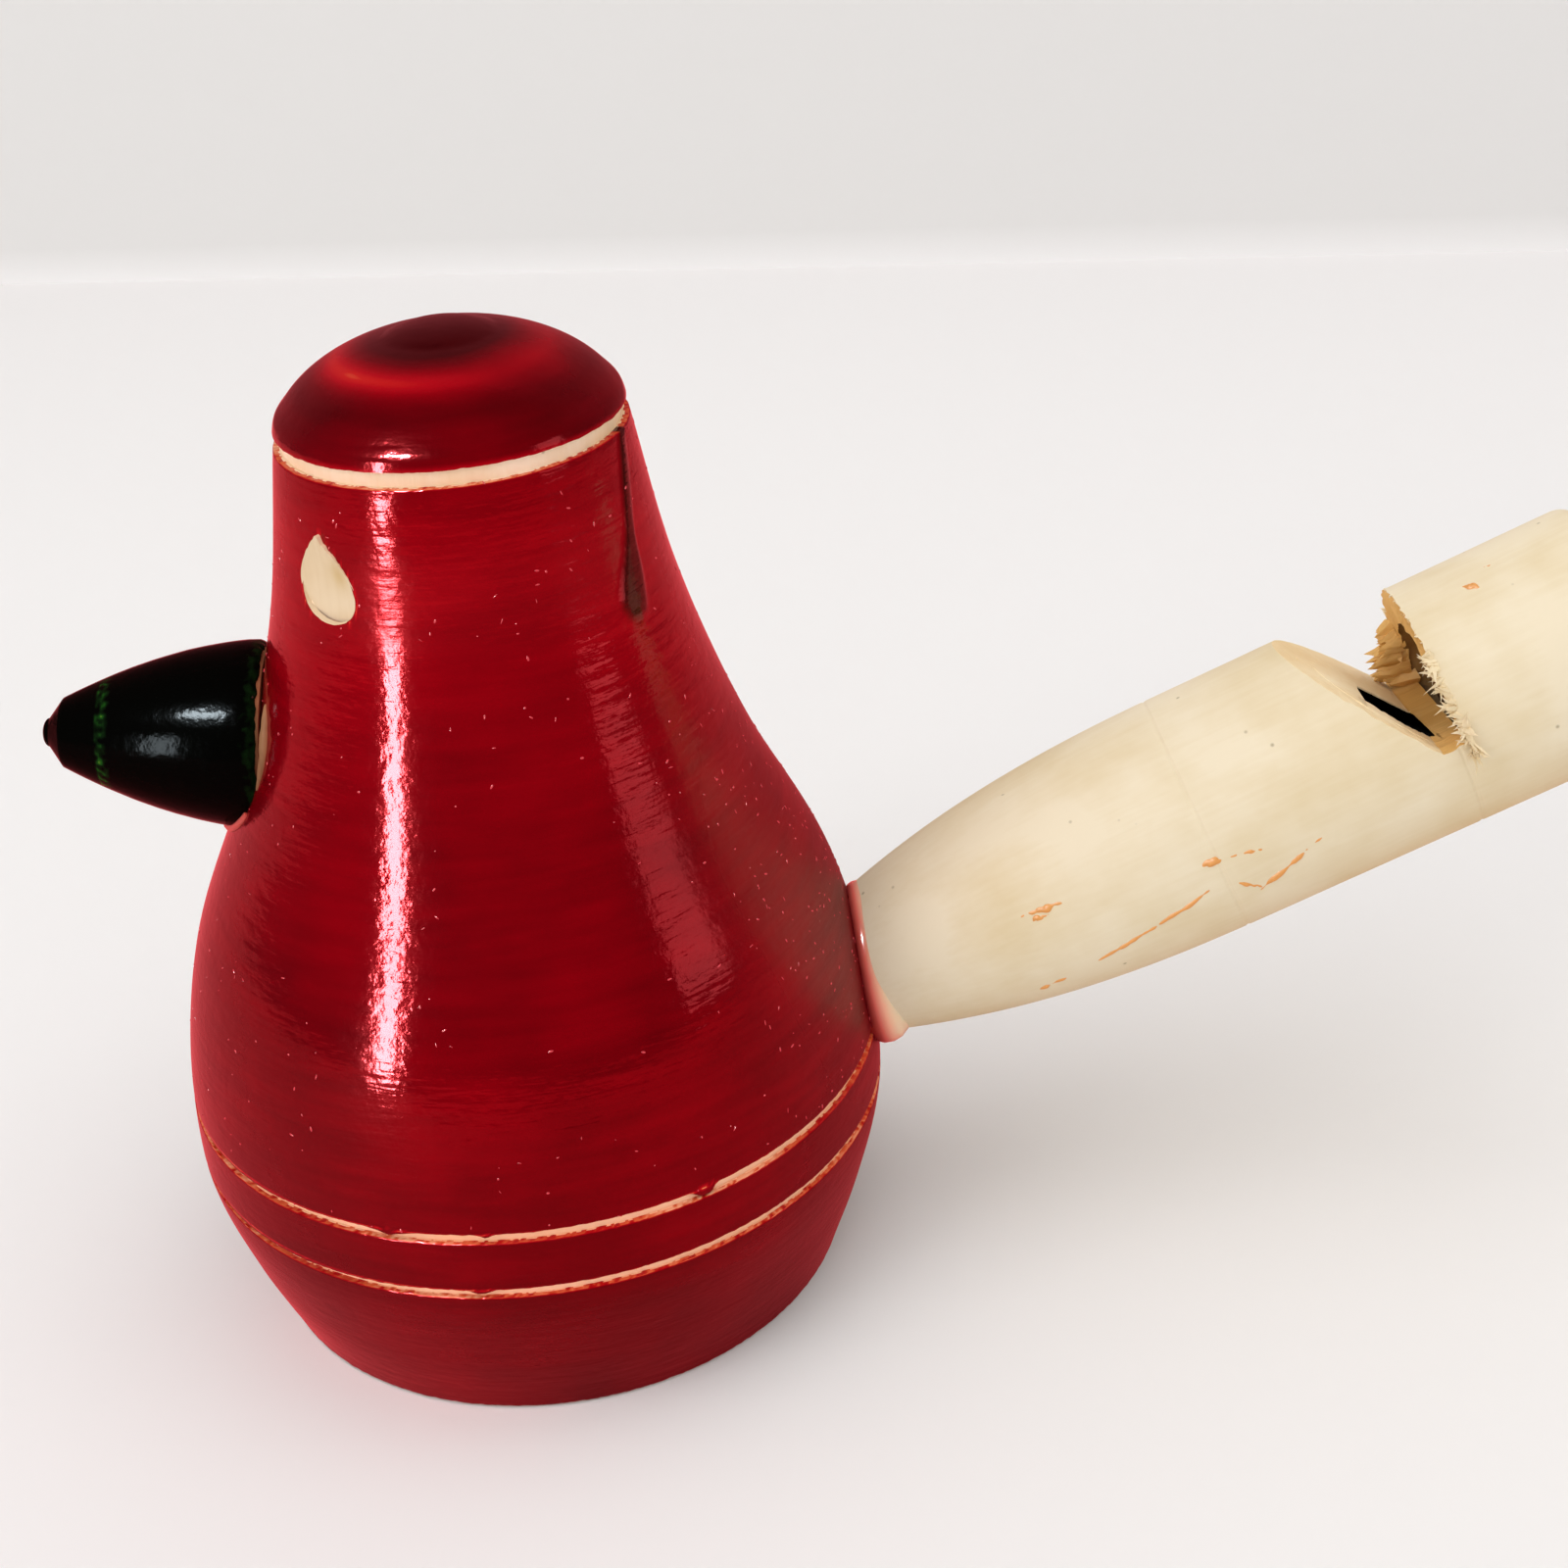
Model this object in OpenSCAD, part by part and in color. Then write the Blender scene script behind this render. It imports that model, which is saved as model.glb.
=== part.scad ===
// Bird whistle: a bird turned from wood and coated with coloured lac, with a turned beak and a turned
// whistle tube, the tail, both glued into drilled seats.
// Frame: Z is the turning axis of the body, the tail points to +X and the beak to -X.
// The origin is the centre of the flat foot, so z = 0 is the surface that the bird stands on.

/* [Body] */
// Widest diameter of the lacquered body
body_d = 40; // [36:0.5:46]
// Height from the foot to the top of the head
body_h = 56.4; // [52:0.2:64]
// Diameter of the flat foot
foot_d = 33.6; // [30:0.2:36]
// Diameter of the body at the groove under the head
neck_d = 18.1; // [16:0.1:21]
// Diameter of the low button on the head
button_d = 5.8; // [4:0.2:8]
// Height of the button above the crown
button_h = 0.3; // [0.2:0.1:1]
// Thickness of the lac coat
lac_t = 0.25; // [0.15:0.05:0.4]

/* [Scored grooves] */
// Width of each of the two grooves around the belly
belly_groove_w = 0.55; // [0.3:0.05:0.9]
// Width of the groove under the head
head_groove_w = 0.85; // [0.4:0.05:1.2]
// Depth of the grooves in the wood below the lac
groove_cut = 0.1; // [0.05:0.05:0.6]
// Width of the lac band between the two belly grooves
band_w = 2.93; // [2:0.01:4]

/* [Eyes] */
// Width of an eye gouge
eye_w = 3.9; // [2.6:0.1:4.6]
// Height of an eye gouge
eye_h = 4.4; // [3.4:0.1:5.4]
// Depth of an eye gouge at its round end
eye_depth = 0.95; // [0.6:0.05:1.4]
// Angle around the body from the beak to each eye
eye_turn = 50; // [40:1:65]

/* [Beak] */
// Diameter of the beak at its base
beak_d = 10.4; // [9:0.1:12]
// Length of the beak from its base to its tip
beak_len = 12.1; // [9:0.1:15]
// Upward tilt of the beak
beak_tilt = 6.3; // [0:0.1:12]
// Diameter of the beak's tenon
beak_tenon_d = 5; // [4:0.1:6]
// Length of the beak's tenon
beak_tenon_len = 6; // [4:0.1:7]

/* [Tail whistle] */
// Diameter of the whistle tube
tube_d = 14; // [12:0.1:15]
// Length of the tube from the body to its mouth end
tube_len = 46.6; // [42:0.1:56]
// Upward tilt of the tube
tube_tilt = 22.7; // [16:0.1:28]
// Diameter of the tube where it meets the body
joint_d = 8.5; // [7.6:0.1:9.4]
// Length of the tenon that is glued into the body
tube_tenon_len = 9; // [6:0.1:11]
// Diameter of the bore
bore_d = 9.8; // [8:0.1:10.2]
// Depth of the bore from the mouth end
bore_len = 37; // [33:0.1:38]
// Distance from the mouth end back to the saw cut
cut_back = 11.1; // [9:0.1:13]
// Length of the window along the tube
window_len = 6.9; // [6:0.1:9]
// Depth of the window below the top of the tube
window_depth = 7.2; // [6:0.1:8.6]
// Width of the saw kerf at the foot of the ramp
kerf_w = 1.5; // [0.8:0.1:2]
// Turn of the window about the tube, away from the bird's left side
window_turn = 11; // [0:1:20]
// Height of the air slit above the block
windway_h = 1.8; // [1:0.1:2.4]
// Distance that the block stands back from the saw cut
block_back = 0.7; // [0.2:0.1:1.5]

/* [Joints] */
// Glue-filled gap around each tenon
glue_gap = 0.06; // [0.03:0.01:0.15]
// Gap around the pressed-in block
plug_gap = 0.03; // [0.01:0.01:0.08]
// Half thickness of the glue squeezed out around the tail
tail_bead = 0.75; // [0.5:0.05:1]
// Half thickness of the glue squeezed out under the beak
beak_bead = 0.7; // [0.5:0.05:1]

/* [Hidden] */
$fn = 96;

// Colours of the wood, the two lacs and the glue
wood_colour = [0.93, 0.87, 0.74];
red_lac_colour = [0.55, 0.02, 0.07];
green_lac_colour = [0.03, 0.06, 0.03];
glue_colour = [0.86, 0.55, 0.48];

// Small amount by which a cut runs past the face that it opens
over = 1;

// Radii of the body and the height of the bare edge at the foot
belly_r = body_d / 2;
neck_r = neck_d / 2;
foot_r = foot_d / 2;
foot_edge = 0.6;
foot_flare = 0.4;

// Heights of the stations up the body, as fractions of the whole height
skirt_z = 0.088 * body_h;
belly_z = 0.194 * body_h;
hip_z = 0.406 * body_h;
waist_z = 0.565 * body_h;
throat_z = 0.742 * body_h;
neck_z = 0.91 * body_h;

// Fullness of each station: 0 is the radius below it, 1 the belly
skirt_fill = 0.55;
hip_fill = 0.823;
waist_fill = 0.4545;
throat_fill = 0.159;

function blend(a, b, part) = a + (b - a) * part;

stations = [
    [foot_edge, foot_r + foot_flare],
    [skirt_z, blend(foot_r + foot_flare, belly_r, skirt_fill)],
    [belly_z, belly_r],
    [hip_z, blend(neck_r, belly_r, hip_fill)],
    [waist_z, blend(neck_r, belly_r, waist_fill)],
    [throat_z, blend(neck_r, belly_r, throat_fill)],
    [neck_z, neck_r],
];

// Smooth curve through the stations: a cubic in each span, level at the belly
function secant(p, i) = (p[i + 1][1] - p[i][1]) / (p[i + 1][0] - p[i][0]);
function span(p, i) = p[i + 1][0] - p[i][0];
function station_slope(p, i) =
    i == 0 ? secant(p, 0) :
    i == len(p) - 1 ? secant(p, i - 1) :
    secant(p, i - 1) * secant(p, i) <= 0 ? 0 :
    (secant(p, i - 1) * span(p, i) + secant(p, i) * span(p, i - 1)) / (span(p, i) + span(p, i - 1));
function span_at(p, z, i = 0) = i >= len(p) - 2 || z <= p[i + 1][0] ? i : span_at(p, z, i + 1);
function cubic(r0, r1, m0, m1, u) =
    r0 * (2 * u ^ 3 - 3 * u ^ 2 + 1) + m0 * (u ^ 3 - 2 * u ^ 2 + u)
    + r1 * (3 * u ^ 2 - 2 * u ^ 3) + m1 * (u ^ 3 - u ^ 2);
function flank_r(z) =
    let (i = span_at(stations, z), l = span(stations, i), u = (z - stations[i][0]) / l)
    cubic(stations[i][1], stations[i + 1][1],
          station_slope(stations, i) * l, station_slope(stations, i + 1) * l, u);

// Radius of the wood under the lac, thinner by the coat measured square to the surface
slope_step = 0.01;
function flank_slope(z) = (flank_r(z + slope_step) - flank_r(z - slope_step)) / (2 * slope_step);
function wood_r(z) = flank_r(z) - lac_t * sqrt(1 + flank_slope(z) ^ 2);

// Points up one stretch of the flank
flank_step = 0.9;
function heights(z0, z1) =
    let (n = max(2, ceil((z1 - z0) / flank_step)))
    [for (i = [0 : n]) blend(z0, z1, i / n)];
function lac_line(z0, z1) = [for (z = heights(z0, z1)) [flank_r(z), z]];
function wood_line(z0, z1) = [for (z = heights(z0, z1)) [wood_r(z), z]];
function reversed(p) = [for (i = [len(p) - 1 : -1 : 0]) p[i]];

// Crown of the head: a superellipse in the rising angle, with the button as a soft bump on it
crown_h = body_h - button_h - neck_z;
crown_power = 1.13;
crown_steps = 24;
bump_power = 3;
function bump(r) = r >= button_d / 2 ? 0 : button_h * (1 - (r / (button_d / 2)) ^ bump_power);
function crown_point(inset, a) =
    let (r = (neck_r - inset) * cos(a))
    [a == 90 ? 0 : r, neck_z + (crown_h - inset) * sin(a) ^ crown_power + bump(r)];
function crown_line(inset, a0) = [for (i = [0 : crown_steps]) crown_point(inset, blend(a0, 90, i / crown_steps))];

// Edges of the four lac coats, either side of the three grooves
lower_groove_z = 0.183 * body_h;
upper_groove_z = lower_groove_z + belly_groove_w + band_w;
head_groove_low = neck_z - head_groove_w / 2;
crown_start = asin((head_groove_w / 2 / crown_h) ^ (1 / crown_power));

// Places of the eyes, beak and tail on the body
eye_z = 0.812 * body_h;
eye_tip_r = 0.15;
beak_z = 0.608 * body_h;
beak_sink = 0.96;
beak_x = flank_r(beak_z) - beak_sink;
tail_z = 0.284 * body_h;
tail_x = flank_r(tail_z);

// Beak: radius falls with a power of the distance from its base, then a shoulder and a nub at the tip
beak_r = beak_d / 2;
beak_power = 1.75;
beak_close = 1.175 * beak_len;
beak_round = 0.9;
base_start = 0.3;
beak_bare = 0.15;
beak_shoulder = 0.905 * beak_len;
beak_neck = 0.97 * beak_len;
beak_nub_r = 0.15 * beak_r;
beak_steps = 20;
tip_steps = 6;
function beak_cone(s) = beak_r * (1 - (s / beak_close) ^ beak_power);
function base_round(s) = s >= beak_round ? 0 : beak_round - sqrt(beak_round ^ 2 - (beak_round - s) ^ 2);
function beak_wall(s) = beak_cone(s) - base_round(max(0, s - beak_bare) + base_start);
function beak_tip(u) = blend(beak_nub_r, beak_cone(beak_shoulder), 1 - u);
function beak_side(inset, s0) = concat(
    [for (i = [0 : beak_steps]) let (s = blend(s0, beak_shoulder, i / beak_steps)) [beak_wall(s) - inset, s]],
    [for (i = [1 : tip_steps]) let (u = i / tip_steps) [beak_tip(u) - inset, blend(beak_shoulder, beak_neck, u)]],
    [for (i = [1 : tip_steps]) let (a = 90 * i / tip_steps)
        [i == tip_steps ? 0 : (beak_nub_r - inset) * cos(a), beak_neck + (beak_len - beak_neck - inset) * sin(a)]]);

// Whistle tube: the taper from the joint swells with a power of the distance left to the full width
tube_r = tube_d / 2;
bore_r = bore_d / 2;
swell_len = 0.47 * tube_len;
swell_power = 2.4;
swell_steps = 22;
seat_in = 1.2;
tube_round = 1.2;
round_steps = 6;
tenon_chamfer = 0.5;
drill_tip = bore_r * 0.6;
cut_s = tube_len - cut_back;
function swell_r(s) = blend(joint_d / 2, tube_r, 1 - (1 - s / swell_len) ^ swell_power);
function swell_line(grow, s0, s1) =
    [for (i = [0 : swell_steps]) let (s = blend(s0, s1, i / swell_steps)) [swell_r(s) + grow, s]];
tenon_r = swell_r(-seat_in);
tenon_end = -seat_in - tube_tenon_len;
tail_seat_out = 4;

// Upward lean of the body's surface at the tail and at the beak, for the glue around them
tail_normal = -atan(flank_slope(tail_z));
beak_normal = -atan(flank_slope(beak_z));
beak_bead_arc = 110;

// Frame of the beak: origin at the centre of its base, Z along the beak
module at_beak() {
    translate([-beak_x, 0, beak_z])
        rotate([0, beak_tilt - 90, 0])
            children();
}

// Frame of the tail: origin on the body's surface, Z along the tube, X to its upper side
module at_tail() {
    translate([tail_x, 0, tail_z])
        rotate([0, 90 - tube_tilt, 0])
            rotate([0, 0, 180])
                children();
}

// A solid turned from a half outline of [radius, height] points
module turned(outline) {
    rotate_extrude()
        polygon(outline);
}

// One stretch of red lac on the flank
module flank_coat(z0, z1) {
    turned(concat(lac_line(z0, z1), reversed(wood_line(z0, z1))));
}

// Square groove around the wood, open outwards
module score(z, w) {
    r = wood_r(z + w / 2);
    translate([0, 0, z])
        rotate_extrude()
            translate([r - groove_cut, 0])
                square([groove_cut + over, w]);
}

// Teardrop cut of a gouge: a ball at the round lower end and a cone up to the point
module eye_cut(side) {
    half = eye_w / 2;
    ball_r = (half ^ 2 + eye_depth ^ 2) / (2 * eye_depth);
    ball_z = eye_z - eye_h / 2 + half;
    ball_x = flank_r(ball_z) + ball_r - eye_depth;
    tip_z = eye_z + eye_h / 2;
    tip_x = flank_r(tip_z);
    rise = norm([tip_x - ball_x, tip_z - ball_z]);
    rotate([0, 0, 180 + side * eye_turn])
        translate([ball_x, 0, ball_z]) {
            sphere(r = ball_r);
            rotate([0, atan2(tip_x - ball_x, tip_z - ball_z), 0])
                cylinder(h = rise, r1 = ball_r, r2 = eye_tip_r);
        }
}

module eye_cuts() {
    for (side = [-1, 1])
        eye_cut(side);
}

// Room in the body for the beak: a flat seat and the hole for its tenon
module beak_room() {
    at_beak() {
        cylinder(h = beak_len, r = beak_r + glue_gap);
        translate([0, 0, -beak_tenon_len - glue_gap])
            cylinder(h = beak_tenon_len + glue_gap + over, d = beak_tenon_d + 2 * glue_gap);
    }
}

// Room in the body for the tail: a tapered mouth and the hole for its tenon
module tail_room() {
    at_tail()
        turned(concat(
            [[0, tenon_end], [tenon_r + glue_gap, tenon_end]],
            swell_line(glue_gap, -seat_in, tail_seat_out),
            [[0, tail_seat_out]]));
}

// Wood of the bird's body: turned, scored, gouged and drilled
module body_core() {
    color(wood_colour)
        difference() {
            turned(concat(
                [[0, 0], [foot_r, 0]],
                wood_line(foot_edge, neck_z),
                crown_line(lac_t, 1)));
            score(lower_groove_z, belly_groove_w);
            score(upper_groove_z, belly_groove_w);
            score(head_groove_low, head_groove_w);
            eye_cuts();
            beak_room();
            tail_room();
        }
}

// Red lac from the foot up to the lower belly groove
module foot_lacquer() {
    color(red_lac_colour)
        difference() {
            flank_coat(foot_edge, lower_groove_z);
            tail_room();
        }
}

// Red lac band between the two belly grooves
module band_lacquer() {
    color(red_lac_colour)
        difference() {
            flank_coat(lower_groove_z + belly_groove_w, upper_groove_z);
            tail_room();
        }
}

// Red lac from the upper belly groove to the groove under the head
module body_lacquer() {
    color(red_lac_colour)
        difference() {
            flank_coat(upper_groove_z + belly_groove_w, head_groove_low);
            eye_cuts();
            beak_room();
            tail_room();
        }
}

// Red lac over the crown of the head
module cap_lacquer() {
    color(red_lac_colour)
        turned(concat(crown_line(0, crown_start), reversed(crown_line(lac_t, crown_start))));
}

// Wood of the beak, with its tenon in one piece
module beak_core() {
    color(wood_colour)
        at_beak()
            turned(concat(
                [[0, -beak_tenon_len], [beak_tenon_d / 2, -beak_tenon_len], [beak_tenon_d / 2, 0]],
                beak_side(lac_t, 0)));
}

// Dark green lac over the beak, stopping just short of its base
module beak_lacquer() {
    color(green_lac_colour)
        at_beak()
            turned(concat(beak_side(0, beak_bare), reversed(beak_side(lac_t, beak_bare))));
}

// Glue squeezed out under the beak
module beak_glue_bead() {
    color(glue_colour)
        difference() {
            translate([-flank_r(beak_z), 0, beak_z])
                rotate([0, beak_normal - 90, 0])
                    rotate([0, 0, 180 - beak_bead_arc / 2])
                        rotate_extrude(angle = beak_bead_arc)
                            translate([beak_r, 0])
                                circle(r = beak_bead);
            turned(concat([[0, 0]], lac_line(foot_edge, neck_z), [[0, neck_z]]));
            beak_room();
        }
}

// Saw cut and ramp of the window, in the tube's frame
module window_cut() {
    top = tube_r + over;
    floor_x = tube_r - window_depth;
    ramp_len = window_len - kerf_w;
    run = kerf_w + ramp_len * (top - floor_x) / window_depth;
    rotate([0, 0, -window_turn])
        rotate([90, 0, 0])
            linear_extrude(height = tube_d + 2 * over, center = true)
                polygon([[floor_x, cut_s], [top, cut_s], [top, cut_s - run], [floor_x, cut_s - kerf_w]]);
}

// Outer shape of the whistle tube with its tenon
module tube_blank() {
    turned(concat(
        [[0, tenon_end], [tenon_r - tenon_chamfer, tenon_end], [tenon_r, tenon_end + tenon_chamfer]],
        swell_line(0, -seat_in, swell_len),
        [for (i = [0 : round_steps]) let (a = 90 * i / round_steps)
            [tube_r - tube_round * (1 - cos(a)), tube_len - tube_round * (1 - sin(a))]],
        [[0, tube_len]]));
}

// Whistle tube, the bird's tail: bored from the mouth end, with the window cut in its upper side
module whistle_tube() {
    color(wood_colour)
        at_tail()
            difference() {
                tube_blank();
                translate([0, 0, tube_len - bore_len])
                    cylinder(h = bore_len + over, r = bore_r);
                translate([0, 0, tube_len - bore_len - drill_tip])
                    cylinder(h = drill_tip, r1 = 0, r2 = bore_r);
                window_cut();
            }
}

// Block that plugs the mouth end and leaves the air slit above its flat
module fipple_block() {
    color(wood_colour)
        at_tail()
            rotate([0, 0, -window_turn])
                difference() {
                    translate([0, 0, cut_s + block_back])
                        cylinder(h = cut_back - block_back, r = bore_r - plug_gap);
                    translate([bore_r - windway_h, -tube_r, cut_s - over])
                        cube([tube_r, tube_d, cut_back + 2 * over]);
                }
}

// Ring of glue squeezed out where the tail enters the body
module tail_glue_bead() {
    color(glue_colour)
        difference() {
            translate([tail_x, 0, tail_z])
                rotate([0, 90 - tail_normal, 0])
                    rotate_extrude()
                        translate([joint_d / 2, 0])
                            circle(r = tail_bead);
            turned(concat([[0, 0]], lac_line(foot_edge, neck_z), [[0, neck_z]]));
            tail_room();
        }
}

body_core();
foot_lacquer();
band_lacquer();
body_lacquer();
cap_lacquer();
beak_core();
beak_lacquer();
beak_glue_bead();
whistle_tube();
fipple_block();
tail_glue_bead();
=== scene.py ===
# %% [markdown]
# # A bird whistle, turned on a lathe and coated with lac
# The toy is a pear of pale wood spun on a lathe. Sticks of coloured lac were pressed on it while it turned,
# and the heat of rubbing melted them to a glossy skin. Three rings were scored through the skin, two eyes
# were gouged, and a beak and a tail were glued in. The tail is the whistle.
# The CAD frame gives every place and size, so each cell only dresses it: the wood that is already right keeps
# its CAD mesh, and the skins, the torn wood and the glue are made again with the marks of the hand.

# %% Load the frame
import math

import bmesh
import bpy
import numpy as np
from mathutils import Matrix, Vector, noise


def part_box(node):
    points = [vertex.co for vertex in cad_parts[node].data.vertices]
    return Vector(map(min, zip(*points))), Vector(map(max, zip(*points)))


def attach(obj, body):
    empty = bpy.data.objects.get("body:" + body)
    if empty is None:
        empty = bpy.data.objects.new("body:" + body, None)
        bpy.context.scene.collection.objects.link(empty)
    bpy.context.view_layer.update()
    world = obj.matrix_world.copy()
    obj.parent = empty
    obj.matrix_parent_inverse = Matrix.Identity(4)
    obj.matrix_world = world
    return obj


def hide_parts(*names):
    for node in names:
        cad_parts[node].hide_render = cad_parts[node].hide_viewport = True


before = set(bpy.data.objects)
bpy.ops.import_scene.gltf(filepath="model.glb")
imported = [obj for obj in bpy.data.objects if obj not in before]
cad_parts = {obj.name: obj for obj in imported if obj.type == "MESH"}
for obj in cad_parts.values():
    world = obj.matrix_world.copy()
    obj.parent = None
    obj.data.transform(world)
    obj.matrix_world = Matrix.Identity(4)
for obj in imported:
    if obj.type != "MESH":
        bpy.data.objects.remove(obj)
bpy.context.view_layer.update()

scene = bpy.context.scene
mm = 0.001

# %% [markdown]
# ## The camera
# The photograph was taken from close by, a little above the bird, which makes the head large and the foot
# small. A camera is a place, three turns and a focal length. They were found by fitting the round edges of the
# body, the tail and the beak, so the render can be laid over the photograph.

# %% Set up the camera
camera_place = Vector((12.18, -115.88, 90.71)) * mm
camera_yaw = math.radians(1.66)
camera_dip = math.radians(28.29)
camera_roll = math.radians(-4.43)
image_px = 1600
focal_px = 2400
sensor_mm = 36

forward = Vector((math.sin(camera_yaw) * math.cos(camera_dip), math.cos(camera_yaw) * math.cos(camera_dip),
                  -math.sin(camera_dip)))
level_right = Vector((math.cos(camera_yaw), -math.sin(camera_yaw), 0))
level_up = level_right.cross(forward)
right = level_right * math.cos(camera_roll) + level_up * math.sin(camera_roll)
up = level_up * math.cos(camera_roll) - level_right * math.sin(camera_roll)

lens = bpy.data.cameras.new("camera")
lens.sensor_width = sensor_mm
lens.lens = sensor_mm * focal_px / image_px
lens.clip_start = mm
camera = bpy.data.objects.new("camera", lens)
camera.matrix_world = Matrix.Translation(camera_place) @ Matrix((right, up, -forward)).transposed().to_4x4()
scene.collection.objects.link(camera)
scene.camera = camera
print("lens in mm:", lens.lens)

# %% [markdown]
# ## Small helpers
# Every material and every Geometry Nodes tree is a set of nodes with links. One function adds a node: its
# settings are plain properties, and each input takes a value, another node or one of that node's outputs.
# Colours are written as on a paint chart, in sRGB hex, and turned to the linear light that shaders add up.

# %% Add a node, read a colour
def add(tree, kind, inputs=None, stops=None, **settings):
    """Adds a node to a tree. Inputs go by name or number; stops are the places and colours of a ramp."""
    node = tree.nodes.new(kind)
    for name, value in settings.items():
        setattr(node, name, value)
    for key, value in (inputs or {}).items():
        if isinstance(value, bpy.types.Node):
            value = value.outputs[0]
        if isinstance(value, bpy.types.NodeSocket):
            tree.links.new(value, node.inputs[key])
        else:
            node.inputs[key].default_value = value
    for i, (place, shade) in enumerate(stops or []):
        ramp = node.color_ramp.elements
        stop = ramp[i] if i < len(ramp) else ramp.new(place)
        stop.position = place
        stop.color = shade
    return node


def colour(code):
    """Linear RGBA of an sRGB hex colour."""
    parts = [int(code[i:i + 2], 16) / 255 for i in (1, 3, 5)]
    return tuple(c / 12.92 if c <= 0.04045 else ((c + 0.055) / 1.055) ** 2.4 for c in parts) + (1,)


def new_material(name, **sockets):
    """A material with its shader's constant values set; returns the material, its tree and its shader."""
    material = bpy.data.materials.new(name)
    material.use_nodes = True
    shader = material.node_tree.nodes["Principled BSDF"]
    for socket, value in sockets.items():
        shader.inputs[socket.replace("_", " ")].default_value = value
    return material, material.node_tree, shader


# %% [markdown]
# ## Red lac
# Lac is a resin that is coloured and rubbed on hot. It is clear to some depth, so its colour follows its
# thickness: orange where the skin is thin, as at the rings, crimson where it is even, and near black where it
# piled up. One number on the mesh, `lac_depth`, holds that thickness, and the ramp turns it to colour. Soft
# patches and faint rings round the lathe's axis vary it. The gloss comes from burnishing with a leaf, which
# leaves fine rings that break a highlight into short dashes. To the eye it is like boiled sugar: a deep crimson
# under a hard shine. Deep lac also colours what it mirrors, so its specular tint is red.

# %% Colour the red lac
lac_patch_mm = 9
lac_ring_mm = 0.9
burnish_ring_mm = 0.4
orange_peel_mm = 0.7
mirror_tint = (1, 0.085, 0.1, 1)

red_lac, tree, shader = new_material(
    "red_lac_burnished", IOR=1.5, Specular_IOR_Level=1.0, Specular_Tint=mirror_tint)
spot = add(tree, "ShaderNodeTexCoord").outputs["Object"]
round_axis = add(tree, "ShaderNodeMapping", {"Vector": spot, "Scale": (0.12, 0.12, 1)})
patches = add(tree, "ShaderNodeTexNoise", {"Vector": spot, "Scale": 1 / (lac_patch_mm * mm), "Detail": 3.0})
rings = add(tree, "ShaderNodeTexNoise", {"Vector": round_axis, "Scale": 1 / (lac_ring_mm * mm), "Detail": 2.0})
depth = add(tree, "ShaderNodeAttribute", attribute_name="lac_depth").outputs["Fac"]
patchy = add(tree, "ShaderNodeMapRange", {0: patches, 1: 0.3, 2: 0.7, 3: -0.1, 4: 0.1})
ringed = add(tree, "ShaderNodeMapRange", {0: rings, 1: 0.3, 2: 0.7, 3: -0.05, 4: 0.05})
varied = add(tree, "ShaderNodeMath", {0: patchy, 1: ringed}, operation="ADD")
thickness = add(tree, "ShaderNodeMath", {0: depth, 1: varied}, operation="ADD")
tone = add(tree, "ShaderNodeValToRGB", {0: thickness}, stops=[
    (0.0, colour("#F2B48C")), (0.07, colour("#DC6A40")), (0.16, colour("#B81A18")), (0.27, colour("#A60614")),
    (0.5, colour("#84000C")), (0.75, colour("#580007")), (1.0, colour("#1C0204"))])
drip = add(tree, "ShaderNodeAttribute", attribute_name="green_drip").outputs["Fac"]
base = add(tree, "ShaderNodeMix", {0: drip, 6: tone, 7: colour("#120B07")}, data_type="RGBA")
tree.links.new(base.outputs[2], shader.inputs["Base Color"])

# %% Polish the red lac
polish_depth_mm = 0.026
rubbed_dull = 0.48
burnish = add(tree, "ShaderNodeTexNoise",
              {"Vector": round_axis, "Scale": 1 / (burnish_ring_mm * mm), "Detail": 2.0})
peel = add(tree, "ShaderNodeTexNoise", {"Vector": spot, "Scale": 1 / (orange_peel_mm * mm), "Detail": 3.0})
relief = add(tree, "ShaderNodeMath", {0: burnish, 1: peel}, operation="ADD")
bump = add(tree, "ShaderNodeBump", {"Height": relief, "Distance": polish_depth_mm * mm, "Strength": 1.0})
gloss = add(tree, "ShaderNodeMapRange", {0: patches, 1: 0.3, 2: 0.7, 3: 0.07, 4: 0.14})
dusty = add(tree, "ShaderNodeAttribute", attribute_name="dusty").outputs["Fac"]
gloss = add(tree, "ShaderNodeMix", {0: dusty, 2: gloss.outputs[0], 3: rubbed_dull}, data_type="FLOAT")
tree.links.new(bump.outputs[0], shader.inputs["Normal"])
tree.links.new(gloss.outputs[0], shader.inputs["Roughness"])
print("red lac:", len(tree.nodes), "nodes")

# %% [markdown]
# ## Green lac
# The beak has the same resin in a green so deep that it reads as black. Only where it was rubbed thin, in a
# narrow band before the tip and along the base, does the green show. The same `lac_depth` number drives it. To
# the eye it is black glass with one small highlight, so it mirrors far less of the room than the red does.

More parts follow.
